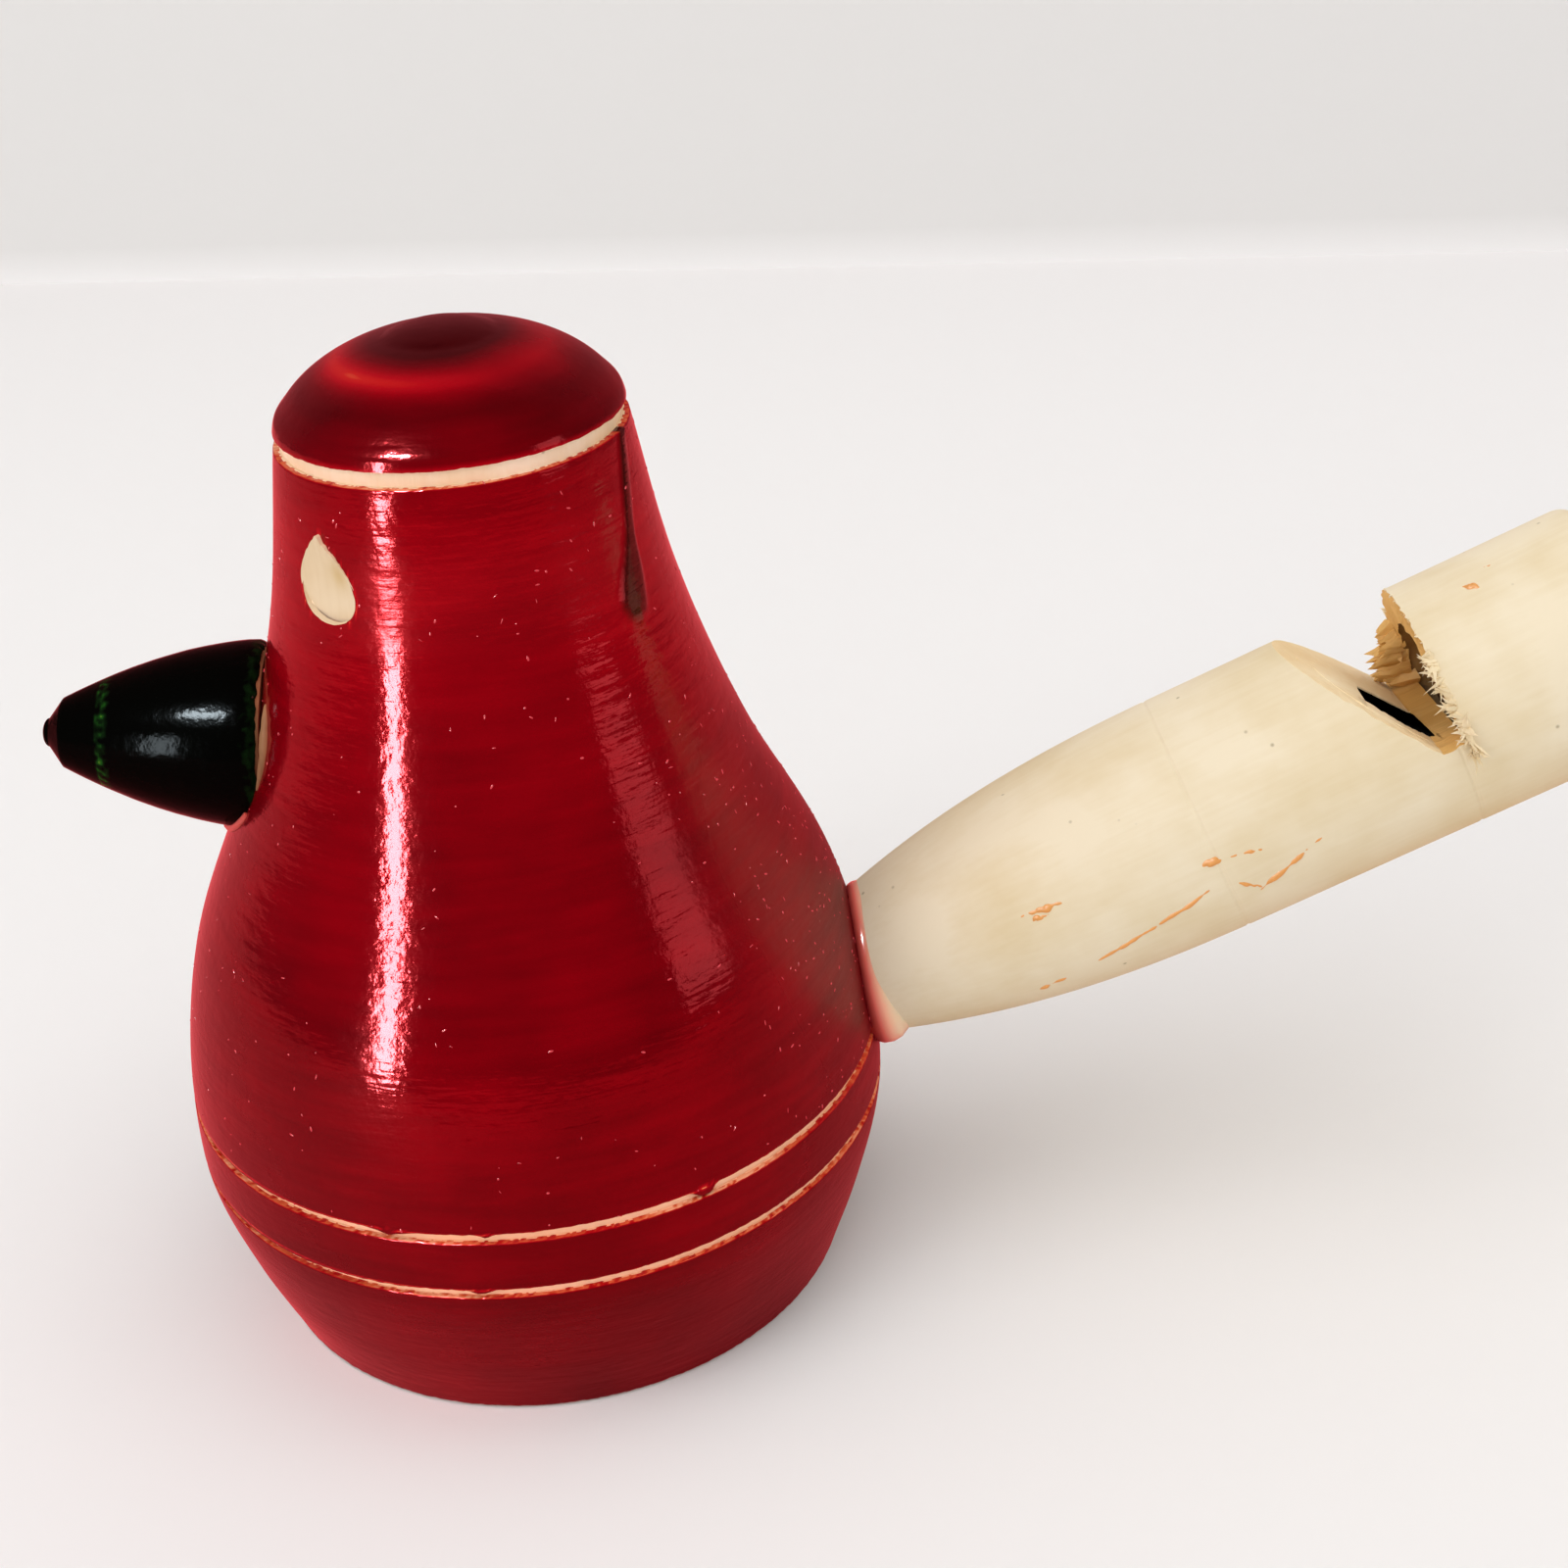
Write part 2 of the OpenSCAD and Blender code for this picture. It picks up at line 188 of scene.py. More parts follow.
# %% Mix the green lac
dent_mm = 0.5
green_lac, tree, shader = new_material(
    "dark_green_lac", IOR=1.5, Roughness=0.13, Specular_IOR_Level=0.014, Specular_Tint=(0.8, 0.93, 1, 1))
spot = add(tree, "ShaderNodeTexCoord").outputs["Object"]
dents = add(tree, "ShaderNodeTexNoise", {"Vector": spot, "Scale": 1 / (dent_mm * mm), "Detail": 3.0})
mottle = add(tree, "ShaderNodeMapRange", {0: dents, 1: 0.3, 2: 0.7, 3: -0.16, 4: 0.16})
depth = add(tree, "ShaderNodeAttribute", attribute_name="lac_depth").outputs["Fac"]
thickness = add(tree, "ShaderNodeMath", {0: depth, 1: mottle}, operation="ADD")
tone = add(tree, "ShaderNodeValToRGB", {0: thickness}, stops=[
    (0.0, colour("#6E8F2E")), (0.18, colour("#1A4A14")), (0.42, colour("#0B1E0A")), (0.7, colour("#030403"))])
bump = add(tree, "ShaderNodeBump", {"Height": dents, "Distance": 0.02 * mm, "Strength": 1.0})
tree.links.new(tone.outputs[0], shader.inputs["Base Color"])
tree.links.new(bump.outputs[0], shader.inputs["Normal"])
print("green lac:", len(tree.nodes), "nodes")

# %% [markdown]
# ## Bare wood
# The wood is a pale, close-grained timber that turners choose because it hardly shows its grain. On the tail it
# was scraped smooth: cream, with faint fibres along its length, tiny dark pores, a faint tan stain on its top near
# the body, and orange marks where it was gripped with lac on the fingers. Where a saw or gouge opened the end
# grain
# it is browner and rough, and the lower rings took up some colour from the lac. Shade is painted into some of it:
# the drilled bore is coloured near black, the underside of the tail and a patch in each eye's hollow are tinted
# tan, and the block's end is a darker brown than the saw's end grain. To the eye all of it is matt, so it hardly
# mirrors, and only its colour and its fibres change from place to place.

# %% Mix the woods
fibre_mm = 0.3
cloud_mm = 7
pore_mm = 1.6
fibre_share = 0.16
tail_tilt = math.radians(22.7)
tail_lean = math.pi / 2 - tail_tilt


def lay_over(material, mask, code):
    """Lays a colour over a wood, as far as a mask says."""
    tree = material.node_tree
    base = tree.nodes["Principled BSDF"].inputs["Base Color"]
    mixed = add(tree, "ShaderNodeMix", {0: mask, 6: base.links[0].from_socket, 7: colour(code)}, data_type="RGBA")
    tree.links.new(mixed.outputs[2], base)


def pale_wood(name, light, dark, lean, rough_mm):
    """Pale wood with its fibres along an axis that leans from upright by an angle."""
    material, tree, shader = new_material(name, IOR=1.45, Specular_IOR_Level=0.03, Roughness=0.6)
    spot = add(tree, "ShaderNodeTexCoord").outputs["Object"]
    along = add(tree, "ShaderNodeMapping", {"Vector": spot, "Rotation": (0, -lean, 0)})
    stretched = add(tree, "ShaderNodeMapping", {"Vector": along, "Scale": (1, 1, 0.08)})
    fibres = add(tree, "ShaderNodeTexNoise", {"Vector": stretched, "Scale": 1 / (fibre_mm * mm), "Detail": 4.0})
    clouds = add(tree, "ShaderNodeTexNoise", {"Vector": along, "Scale": 1 / (cloud_mm * mm), "Detail": 4.0})
    both = add(tree, "ShaderNodeMix", {0: fibre_share, 2: clouds.outputs[0], 3: fibres.outputs[0]},
               data_type="FLOAT")
    tone = add(tree, "ShaderNodeValToRGB", {0: both}, stops=[(0.36, colour(dark)), (0.6, colour(light))])
    tree.links.new(tone.outputs[0], shader.inputs["Base Color"])
    # The tan laid over here is a real stain on the tail's top near the body, and painted shade under the tail and
    # in a patch of each eye's hollow.
    lay_over(material, add(tree, "ShaderNodeAttribute", attribute_name="tan_stain").outputs["Fac"], "#CDAF7E")
    pores = add(tree, "ShaderNodeTexVoronoi", {"Vector": along, "Scale": 1 / (pore_mm * mm), "Randomness": 1.0})
    dots = add(tree, "ShaderNodeMapRange", {0: pores.outputs["Distance"], 1: 0.03, 2: 0.09, 3: 0.6, 4: 0.0})
    some = add(tree, "ShaderNodeMath", {0: clouds, 1: 0.54}, operation="GREATER_THAN")
    lay_over(material, add(tree, "ShaderNodeMath", {0: dots, 1: some}, operation="MULTIPLY").outputs[0], "#8A7856")
    bump = add(tree, "ShaderNodeBump", {"Height": fibres, "Distance": rough_mm * mm, "Strength": 1.0})
    tree.links.new(bump.outputs[0], shader.inputs["Normal"])
    print(name, len(tree.nodes), "nodes")
    return material


tail_wood = pale_wood("scraped_pale_wood", "#E8DBC0", "#DDCBA6", tail_lean, 0.012)
ramp_wood = pale_wood("knife_cut_wood", "#FFF0CC", "#F0D6A6", tail_lean, 0.04)
sawn_wood = pale_wood("sawn_end_grain", "#ECC27C", "#CA9A54", tail_lean, 0.08)
# The block's end is a darker brown than the saw's end grain: partly its end grain, partly painted shade for its
# recess.
plug_wood_and_shade = pale_wood("plug_end_grain", "#C68F52", "#94602C", tail_lean, 0.06)
torn_wood = pale_wood("torn_wood_fibre", "#F6EAD0", "#E2CCA0", tail_lean, 0.02)
collar_wood = pale_wood("stained_beak_wood", "#9A6E4C", "#6A422C", 0, 0.05)

# %% Paint shade into the bore and stain the rings
shaded_bore_wood = pale_wood("drilled_wood", "#DDB477", "#BE8E4E", tail_lean, 0.04)
# Painted shade: the bore's wall is coloured near black, and brown on the mouth side of the cut.
lay_over(shaded_bore_wood, add(shaded_bore_wood.node_tree, "ShaderNodeAttribute", attribute_name="bore_dark").outputs["Fac"],
         "#0A0502")
eye_wood = pale_wood("gouged_pale_wood", "#E6D0B2", "#D9BE99", 0, 0.02)
body_wood = pale_wood("scored_pale_wood", "#FFE9CE", "#F2D2AA", 0, 0.04)
tree = body_wood.node_tree
height = add(tree, "ShaderNodeSeparateXYZ", {0: add(tree, "ShaderNodeTexCoord").outputs["Object"]}).outputs["Z"]
low_ring = add(tree, "ShaderNodeMapRange", {0: height, 1: 16 * mm, 2: 20 * mm, 3: 0.6, 4: 0.0})
lay_over(body_wood, low_ring.outputs[0], "#FFC296")
for node, finish in (("body_core", body_wood), ("beak_core", collar_wood), ("fipple_block", plug_wood_and_shade)):
    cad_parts[node].material_slots[0].material = finish
    print(node, "keeps its CAD mesh, finished as", finish.name)

# %% [markdown]
# ## Dried glue
# Glue was squeezed out when the tail and the beak were pushed in. It dried clear and rounded, took up red from
# the lac beside it, which the number `glue_red` tells, and lets light in, which subsurface scattering gives. To
# the eye it is soft and pink, like wax.

# %% Mix the glue
glue, tree, shader = new_material(
    "dried_glue", IOR=1.48, Roughness=0.16, Specular_IOR_Level=0.45, Subsurface_Weight=0.5,
    Subsurface_Radius=(1.0, 0.35, 0.25), Subsurface_Scale=0.6 * mm)
redness = add(tree, "ShaderNodeAttribute", attribute_name="glue_red").outputs["Fac"]
tone = add(tree, "ShaderNodeValToRGB", {0: redness}, stops=[
    (0.0, colour("#EBD5B2")), (0.35, colour("#EDB094")), (0.7, colour("#D8685C")), (0.95, colour("#8E1A1E"))])
tree.links.new(tone.outputs[0], shader.inputs["Base Color"])
print("glue:", len(tree.nodes), "nodes")

# %% [markdown]
# ## A lathe in Geometry Nodes
# Almost everything here was turned, so one tree serves as the lathe. It takes a half outline, a chain of points
# with the radius in X and the height in Z, and lays a grid round it: one side of the grid runs along the
# outline, the other round the axis. A Spin in mesh code would give the same shape, but the tree can also do
# what the turner's hand does: ripple the surface a little and let the edge of a skin wander where it was scored.

# %% Build the lathe
def new_tree(name, inputs):
    """A Geometry Nodes tree with named inputs; returns the tree, what it is given and where its result goes."""
    tree = bpy.data.node_groups.new(name, "GeometryNodeTree")
    tree.interface.new_socket("Geometry", in_out="OUTPUT", socket_type="NodeSocketGeometry")
    for label, kind in {"Geometry": "Geometry", **inputs}.items():
        tree.interface.new_socket(label, in_out="INPUT", socket_type="NodeSocket" + kind)
    return tree, tree.nodes.new("NodeGroupInput").outputs, tree.nodes.new("NodeGroupOutput").inputs[0]


lathe, given, result = new_tree("lathe", {
    "Steps Round": "Int", "Ripple": "Float", "Ripple Spacing": "Float", "Edge Wander": "Float",
    "Wander Spacing": "Float", "Seed": "Float", "Finish": "Material"})
rows = add(lathe, "GeometryNodeAttributeDomainSize", {0: given["Geometry"]}, component="MESH").outputs[0]
columns = add(lathe, "ShaderNodeMath", {0: given["Steps Round"], 1: 1}, operation="ADD")
grid = add(lathe, "GeometryNodeMeshGrid", {0: 1, 1: 1, "Vertices X": columns, "Vertices Y": rows})
place = add(lathe, "ShaderNodeSeparateXYZ", {0: add(lathe, "GeometryNodeInputPosition")})
turn = add(lathe, "ShaderNodeMapRange", {0: place.outputs["X"], 1: -0.5, 2: 0.5, 3: 0, 4: math.tau})
last_row = add(lathe, "ShaderNodeMath", {0: rows, 1: 1}, operation="SUBTRACT")
row = add(lathe, "ShaderNodeMapRange", {0: place.outputs["Y"], 1: -0.5, 2: 0.5, 3: 0, 4: last_row})
row = add(lathe, "ShaderNodeMath", {0: row}, operation="ROUND")
outline_point = add(lathe, "GeometryNodeSampleIndex", {
    0: given["Geometry"], 1: add(lathe, "GeometryNodeInputPosition"), 2: row}, data_type="FLOAT_VECTOR")
at_edge = add(lathe, "GeometryNodeInputNamedAttribute", {0: "weight"}, data_type="FLOAT")
at_edge = add(lathe, "GeometryNodeSampleIndex", {0: given["Geometry"], 1: at_edge, 2: row}, data_type="FLOAT")
half = add(lathe, "ShaderNodeSeparateXYZ", {0: outline_point})
cosine = add(lathe, "ShaderNodeMath", {0: turn}, operation="COSINE")
sine = add(lathe, "ShaderNodeMath", {0: turn}, operation="SINE")
spoke = add(lathe, "ShaderNodeCombineXYZ", {0: cosine, 1: sine})
ring = add(lathe, "ShaderNodeVectorMath", {0: spoke, "Scale": half.outputs["X"]}, operation="SCALE")

# %% Let the turner's hand in
lift = add(lathe, "ShaderNodeCombineXYZ", {2: half.outputs["Z"]})
round_point = add(lathe, "ShaderNodeVectorMath", {0: ring, 1: lift}, operation="ADD")
squat = add(lathe, "ShaderNodeVectorMath", {0: round_point, 1: (0.25, 0.25, 1)}, operation="MULTIPLY")
pitch = add(lathe, "ShaderNodeMath", {0: 1, 1: given["Ripple Spacing"]}, operation="DIVIDE")
wave = add(lathe, "ShaderNodeTexNoise", {"Vector": squat, "W": given["Seed"], "Scale": pitch, "Detail": 1.0},
           noise_dimensions="4D")
wave = add(lathe, "ShaderNodeMath", {0: wave, 1: 0.5}, operation="SUBTRACT")
swell = add(lathe, "ShaderNodeMath", {0: wave, 1: given["Ripple"], 2: 1}, operation="MULTIPLY_ADD")
ring = add(lathe, "ShaderNodeVectorMath", {0: ring, "Scale": swell}, operation="SCALE")
pitch = add(lathe, "ShaderNodeMath", {0: 1, 1: given["Wander Spacing"]}, operation="DIVIDE")
nick = add(lathe, "ShaderNodeTexNoise", {"Vector": ring, "W": given["Seed"], "Scale": pitch, "Detail": 3.0},
           noise_dimensions="4D")
nick = add(lathe, "ShaderNodeMath", {0: nick, 1: 0.5}, operation="SUBTRACT")
stray = add(lathe, "ShaderNodeMath", {0: nick, 1: given["Edge Wander"]}, operation="MULTIPLY")
height = add(lathe, "ShaderNodeMath", {0: stray, 1: at_edge, 2: half.outputs["Z"]}, operation="MULTIPLY_ADD")
lift = add(lathe, "ShaderNodeCombineXYZ", {2: height})
turned_point = add(lathe, "ShaderNodeVectorMath", {0: ring, 1: lift}, operation="ADD")
turned = add(lathe, "GeometryNodeSetPosition", {0: grid, "Position": turned_point})
closed = add(lathe, "GeometryNodeMergeByDistance", {0: turned, "Distance": 1e-6})
real = add(lathe, "GeometryNodeRealizeInstances", {0: closed})
finished = add(lathe, "GeometryNodeSetMaterial", {0: real, "Material": given["Finish"]})
lathe.links.new(finished.outputs[0], result)
print("lathe:", len(lathe.nodes), "nodes")


# %% Run a tree and keep a plain mesh
def set_number(mesh, name, values):
    """Stores one number per vertex, for a tree or a shader to read."""
    mesh.attributes.new(name, "FLOAT", "POINT").data.foreach_set("value", np.asarray(values, float))


def chain_mesh(points, weight=None, closed=False):
    """Points in mm as a mesh of one chain of edges, each point with a weight."""
    mesh = bpy.data.meshes.new("chain")
    links = [(i, i + 1) for i in range(len(points) - 1)] + ([(len(points) - 1, 0)] if closed else [])
    mesh.from_pydata([tuple(mm * v for v in p) for p in points], links, [])
    set_number(mesh, "weight", np.zeros(len(points)) if weight is None else weight)
    return mesh


def run_tree(tree, source, **values):
    """Runs a tree on a mesh, with its inputs set by their identifiers, and returns the result as a mesh."""
    rig = bpy.data.objects.new("rig", source)
    scene.collection.objects.link(rig)
    modifier = rig.modifiers.new("tree", "NODES")
    modifier.node_group = tree
    for item in tree.interface.items_tree:
        if item.in_out == "INPUT" and item.name.replace(" ", "_") in values:
            modifier[item.identifier] = values[item.name.replace(" ", "_")]
    mesh = bpy.data.meshes.new_from_object(rig.evaluated_get(bpy.context.evaluated_depsgraph_get()))
    bpy.data.objects.remove(rig)
    bpy.data.meshes.remove(source)
    return mesh


def close_shell(mesh, crease=40):
    """Merges doubles, turns every face outwards and keeps edges sharper than an angle crisp."""
    shell = bmesh.new()
    shell.from_mesh(mesh)
    bmesh.ops.remove_doubles(shell, verts=shell.verts, dist=1e-7)
    bmesh.ops.dissolve_degenerate(shell, dist=1e-7, edges=shell.edges)
    bmesh.ops.recalc_face_normals(shell, faces=shell.faces)
    for face in shell.faces:
        face.smooth = True
    shell.to_mesh(mesh)
    shell.free()
    mesh.set_sharp_from_angle(angle=math.radians(crease))
    return mesh


def turn_on_lathe(outline, finish, steps, ripple=0, ripple_mm=2, wander=None, wander_mm=0, nick_mm=0.5, seed=0.0):
    """A closed shell turned from a half outline in mm."""
    points = [(max(r, 0), 0, z) for r, z in outline]
    return close_shell(run_tree(
        lathe, chain_mesh(points, wander), Steps_Round=steps, Ripple=float(ripple), Ripple_Spacing=ripple_mm * mm,
        Edge_Wander=wander_mm * mm, Wander_Spacing=nick_mm * mm, Seed=seed, Finish=finish))


def keep_piece(name, mesh, slot, *stands_for):
    """Links a finished mesh as a piece of the bird and hides the CAD nodes it stands for."""
    piece = bpy.data.objects.new(name, mesh)
    scene.collection.objects.link(piece)
    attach(piece, "root")
    if stands_for:
        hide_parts(*stands_for)
    mesh.calc_loop_triangles()
    print(name, len(mesh.loop_triangles), "triangles")
    return piece


# %% [markdown]
# ## The turner's outline
# The pear is a smooth curve through seven stations, each a height and a radius. Between two stations runs a
# cubic that leaves and arrives with the mean slope of its neighbours, so there is no flat and no kink. These are
# the CAD's own stations, and the cell measures how far its curve lies from the CAD skin.

# %% Draw the outline of the body
body_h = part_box("cap_lacquer")[1].z / mm
belly_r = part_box("band_lacquer")[1].y / mm
neck_r = 9.05
foot_edge_r = 17.2
foot_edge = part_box("foot_lacquer")[0].z / mm
lac_t = 0.25
station_z = np.array([foot_edge] + [part * body_h for part in (0.088, 0.194, 0.406, 0.565, 0.742, 0.91)])
station_r = np.array([foot_edge_r, foot_edge_r + 0.55 * (belly_r - foot_edge_r), belly_r]
                     + [neck_r + part * (belly_r - neck_r) for part in (0.823, 0.4545, 0.159, 0)])
spans = np.diff(station_z)
secants = np.diff(station_r) / spans
slopes = np.concatenate([secants[:1], (secants[:-1] * spans[1:] + secants[1:] * spans[:-1])
                         / (spans[1:] + spans[:-1]), secants[-1:]])
slopes[1:-1][secants[:-1] * secants[1:] <= 0] = 0


def flank_r(z):
    """Radius of the lac at a height, in mm."""
    i = np.clip(np.searchsorted(station_z, z) - 1, 0, len(spans) - 1)
    u = (z - station_z[i]) / spans[i]
    return (station_r[i] * (2 * u ** 3 - 3 * u ** 2 + 1) + slopes[i] * spans[i] * (u ** 3 - 2 * u ** 2 + u)
            + station_r[i + 1] * (3 * u ** 2 - 2 * u ** 3) + slopes[i + 1] * spans[i] * (u ** 3 - u ** 2))


def flank_slope(z):
    """How fast that radius changes with height."""
    return (flank_r(z + 0.01) - flank_r(z - 0.01)) / 0.02


def points_of(mesh):
    """Every vertex of a mesh in mm."""
    flat = np.empty(len(mesh.vertices) * 3)
    mesh.vertices.foreach_get("co", flat)
    return flat.reshape(-1, 3) / mm


skin = points_of(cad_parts["band_lacquer"].data)
print("outline off the CAD band by mm:",
      np.abs(np.hypot(skin[:, 0], skin[:, 1]) - flank_r(skin[:, 2])).min().round(3))


# %% [markdown]
# ## The red skins
# Scoring the rings cut the lac through to the wood, so the skin is four separate coats. Each is a thin closed
# shell: up the outside, over a small rounded edge, and back down just inside the wood. Rows of points lie close
# together near the edges, where the colour turns orange and the score strays.

# %% Outline one coat
groove_w = 0.55
head_groove_w = 0.85
band_w = 2.93
lower_groove = 0.183 * body_h
upper_groove = lower_groove + groove_w + band_w
neck_z = 0.91 * body_h
edge_steps_mm = np.array([0, 0.03, 0.08, 0.15, 0.25, 0.4])
edge_round = 0.05
sunk = 0.08


def rows_between(low, high, step):
    """Heights from an edge to the other, close together near both."""
    inner = np.arange(low + edge_steps_mm[-1] + step / 2, high - edge_steps_mm[-1] - step / 3, step)
    return np.concatenate([low + edge_steps_mm, inner, high - edge_steps_mm[::-1]])


def coat_outline(low, high, step):
    """Closed half outline of one coat on the flank, and the weight of each point's wander."""
    z = rows_between(low, high, step)
    from_edge = np.minimum(z - low, high - z)
    outside = np.stack([flank_r(z) - edge_round * np.clip(1 - from_edge / 0.06, 0, 1) ** 2, z], 1)
    z_in = np.linspace(high, low, max(4, int((high - low) / (3 * step))))
    inside = np.stack([flank_r(z_in) - lac_t * np.sqrt(1 + flank_slope(z_in) ** 2) - sunk, z_in], 1)
    at_ends = np.minimum(z_in - low, high - z_in) < 0.01
    weight = np.concatenate([np.clip(1 - from_edge / 0.4, 0, 1), at_ends * 1.0])
    outline = np.concatenate([outside, inside])
    return np.concatenate([outline, outline[:1]]), np.append(weight, weight[0])


flank_steps = 640
coats = {}
for name, low, high, step, seed in (
        ("foot", 0.12, lower_groove, 0.45, 1.0), ("band", lower_groove + groove_w, upper_groove, 0.4, 2.0),
        ("body", upper_groove + groove_w, neck_z - head_groove_w / 2, 0.45, 3.0)):
    outline, weight = coat_outline(low, high, step)
    coats[name] = turn_on_lathe(outline, red_lac, flank_steps, ripple=0.0012, ripple_mm=2.5, wander=weight,
                                wander_mm=0.22, nick_mm=0.5, seed=seed)
    print(name, "coat:", len(outline), "rows")

# %% Turn the crown
button_h = 0.3
button_r = 2.9
roll_h = 0.1
crown_h = body_h - button_h - neck_z
crown_power = 1.13
crown_start = math.asin((head_groove_w / 2 / crown_h) ** (1 / crown_power))


def crown_line(inset, angles):
    """Radius and height of the crown, a soft dome with a low button, at some depth below its skin."""
    r = (neck_r - inset) * np.cos(angles)
    r = r + roll_h * np.exp(-(((neck_r - r) / neck_r - 0.035) / 0.03) ** 2) * (angles < 1.2)
    bump = button_h * np.clip(1 - (r / button_r) ** 3, 0, 1)
    return np.stack([np.where(angles > math.pi / 2 - 1e-6, 0, r),
                     neck_z + (crown_h - inset) * np.sin(angles) ** crown_power + bump], 1)


angles = crown_start + (math.pi / 2 - crown_start) * np.linspace(0, 1, 90) ** 1.15
outline = np.concatenate([crown_line(lac_t + sunk, angles[::-3]), crown_line(0, angles)])
weight = np.clip(1 - (outline[:, 1] - outline[:, 1].min()) / 0.4, 0, 1)
coats["cap"] = turn_on_lathe(outline, red_lac, 384, ripple=0.0012, ripple_mm=2.5, wander=weight,
                             wander_mm=0.22, nick_mm=0.8, seed=4.0)
print("crown coat:", len(outline), "rows")

# %% [markdown]
# ## Eyes, beak seat and tail seat
# The eyes were cut with a gouge, which lifts the lac off in a ragged teardrop, and the seats for beak and
# tail were drilled through it. The drills are turned on the same lathe and the gouges lofted from the teardrop;
# all are set in place and taken out of the body's coat with a Boolean, as the gouge and the drill took it out.

# %% Place the parts' own frames
beak_z = 0.608 * body_h
beak_tilt = math.radians(6.3)
beak_base = Vector((-(flank_r(beak_z) - 0.96), 0, beak_z))
beak_frame = Matrix.Translation(beak_base * mm) @ Matrix((
    (math.sin(beak_tilt), 0, math.cos(beak_tilt)), (0, 1, 0),
    (-math.cos(beak_tilt), 0, math.sin(beak_tilt)))).transposed().to_4x4()
tail_z = 0.284 * body_h
tail_base = Vector((flank_r(tail_z), 0, tail_z))
tail_frame = Matrix.Translation(tail_base * mm) @ Matrix((
    (-math.sin(tail_tilt), 0, math.cos(tail_tilt)), (0, -1, 0),
    (math.cos(tail_tilt), 0, math.sin(tail_tilt)))).transposed().to_4x4()
print("beak at", [round(v, 2) for v in beak_base], "tail at", [round(v, 2) for v in tail_base])

# %% Shape the gouge
def smooth(value, low, high):
    """0 below low, 1 above high, and a soft step between."""
    part = np.clip((value - low) / (high - low), 0, 1)
    return part * part * (3 - 2 * part)


eye_w = 3.9
eye_low = 43.85
eye_high = 48.3
eye_turn = math.radians(50)
eye_lean = 0.15
eye_shift = -0.2
eye_z = (eye_low + eye_high) / 2
eyes = {"bare_eye_near": (1, 3.1), "bare_eye_far": (-1, 8.4)}


def eye_line(seed):
    """Teardrop outline of an eye in mm, across and up: round below, a torn point above."""
    t = np.linspace(0, math.tau, 140, endpoint=False)
    high = (eye_high - eye_low) / 2 * np.cos(t)
    across = eye_w / 2 / 0.77 * np.sin(t) * np.abs(np.sin(t / 2)) - eye_lean * high + eye_shift
    torn = 0.02 + 0.1 * smooth(high, 0.2, 1.8)
    rough = [noise.noise(Vector((a / 0.3, h / 0.3, seed))) for a, h in zip(across, high)]
    return np.stack([across + torn * np.array(rough), high + 2 * torn * np.array(rough)], 1)


def loft(name, rings, *finishes):
    """A closed mesh over rings of points in mm, each with as many points, and flat at both ends."""
    count = len(rings[0])
    points = [tuple(mm * v for v in point) for ring in rings for point in ring]
    sides = [(k * count + i, k * count + (i + 1) % count, (k + 1) * count + (i + 1) % count, (k + 1) * count + i)
             for k in range(len(rings) - 1) for i in range(count)]
    mesh = bpy.data.meshes.new(name)
    mesh.from_pydata(points, [], sides + [tuple(range(count)), tuple(range(len(points) - count, len(points)))])
    for finish in finishes:
        mesh.materials.append(finish)
    return mesh


def set_at_eye(mesh, side):
    """Carries a mesh, drawn across and up from the axis, to one eye."""
    mesh.transform(Matrix.Rotation(math.pi + side * eye_turn, 4, "Z")
                   @ Matrix.Translation(Vector((0, 0, eye_z)) * mm))
    return close_shell(mesh)


def gouge(side, seed):
    """The gouge's cut at one eye, a teardrop with walls that lean in, standing through the lac."""
    line = eye_line(seed)
    inner, outer = flank_r(eye_z) - 0.9, flank_r(eye_z) + 1.2
    rings = [[(outer, a, h) for a, h in line], [(inner, 0.9 * a, 0.93 * h) for a, h in line]]
    return set_at_eye(loft("gouge", rings, eye_wood), side)


print("eyes at a height of mm:", round(eye_z, 2))

# %% Cut the body's coat
beak_r = 5.2
glue_gap = 0.06
tail_joint_r = 4.25
tube_r = 7.0
tube_len = 46.6
swell_len = 0.47 * tube_len


def swell_r(s):
    """Radius of the tail at a distance along it: it swells from the joint to the full tube."""
    left = np.clip(1 - np.asarray(s, float) / swell_len, 0, None)
    return tail_joint_r + (tube_r - tail_joint_r) * (1 - left ** 2.4)


def carve(mesh, *tools):
    """Takes each tool's shape out of a mesh; the cut keeps the tool's own finish."""
    block = bpy.data.objects.new("block", mesh)
    scene.collection.objects.link(block)
    helpers = []
    for tool in tools:
        helpers.append(bpy.data.objects.new("tool", tool))
        scene.collection.objects.link(helpers[-1])
        cut = block.modifiers.new("cut", "BOOLEAN")
        cut.object = helpers[-1]
        cut.solver = "MANIFOLD"
        cut.material_mode = "TRANSFER"
    carved = bpy.data.meshes.new_from_object(block.evaluated_get(bpy.context.evaluated_depsgraph_get()))
    for helper in [block] + helpers:
        bpy.data.objects.remove(helper)
    return carved


beak_seat = turn_on_lathe([(0, 0), (beak_r - 0.7, 0), (beak_r - 0.7, 12), (0, 12)], red_lac, 96)
beak_seat.transform(beak_frame)
seat_s = np.linspace(-6, 4, 24)
tail_seat = turn_on_lathe([(0, -6)] + list(zip(swell_r(seat_s) + glue_gap, seat_s)) + [(0, 4)], red_lac, 96)
tail_seat.transform(tail_frame)
gouges = [gouge(*eye) for eye in eyes.values()]
coats["body"] = close_shell(carve(coats["body"], *gouges, beak_seat, tail_seat))
print("body coat after cutting:", len(coats["body"].polygons), "faces")
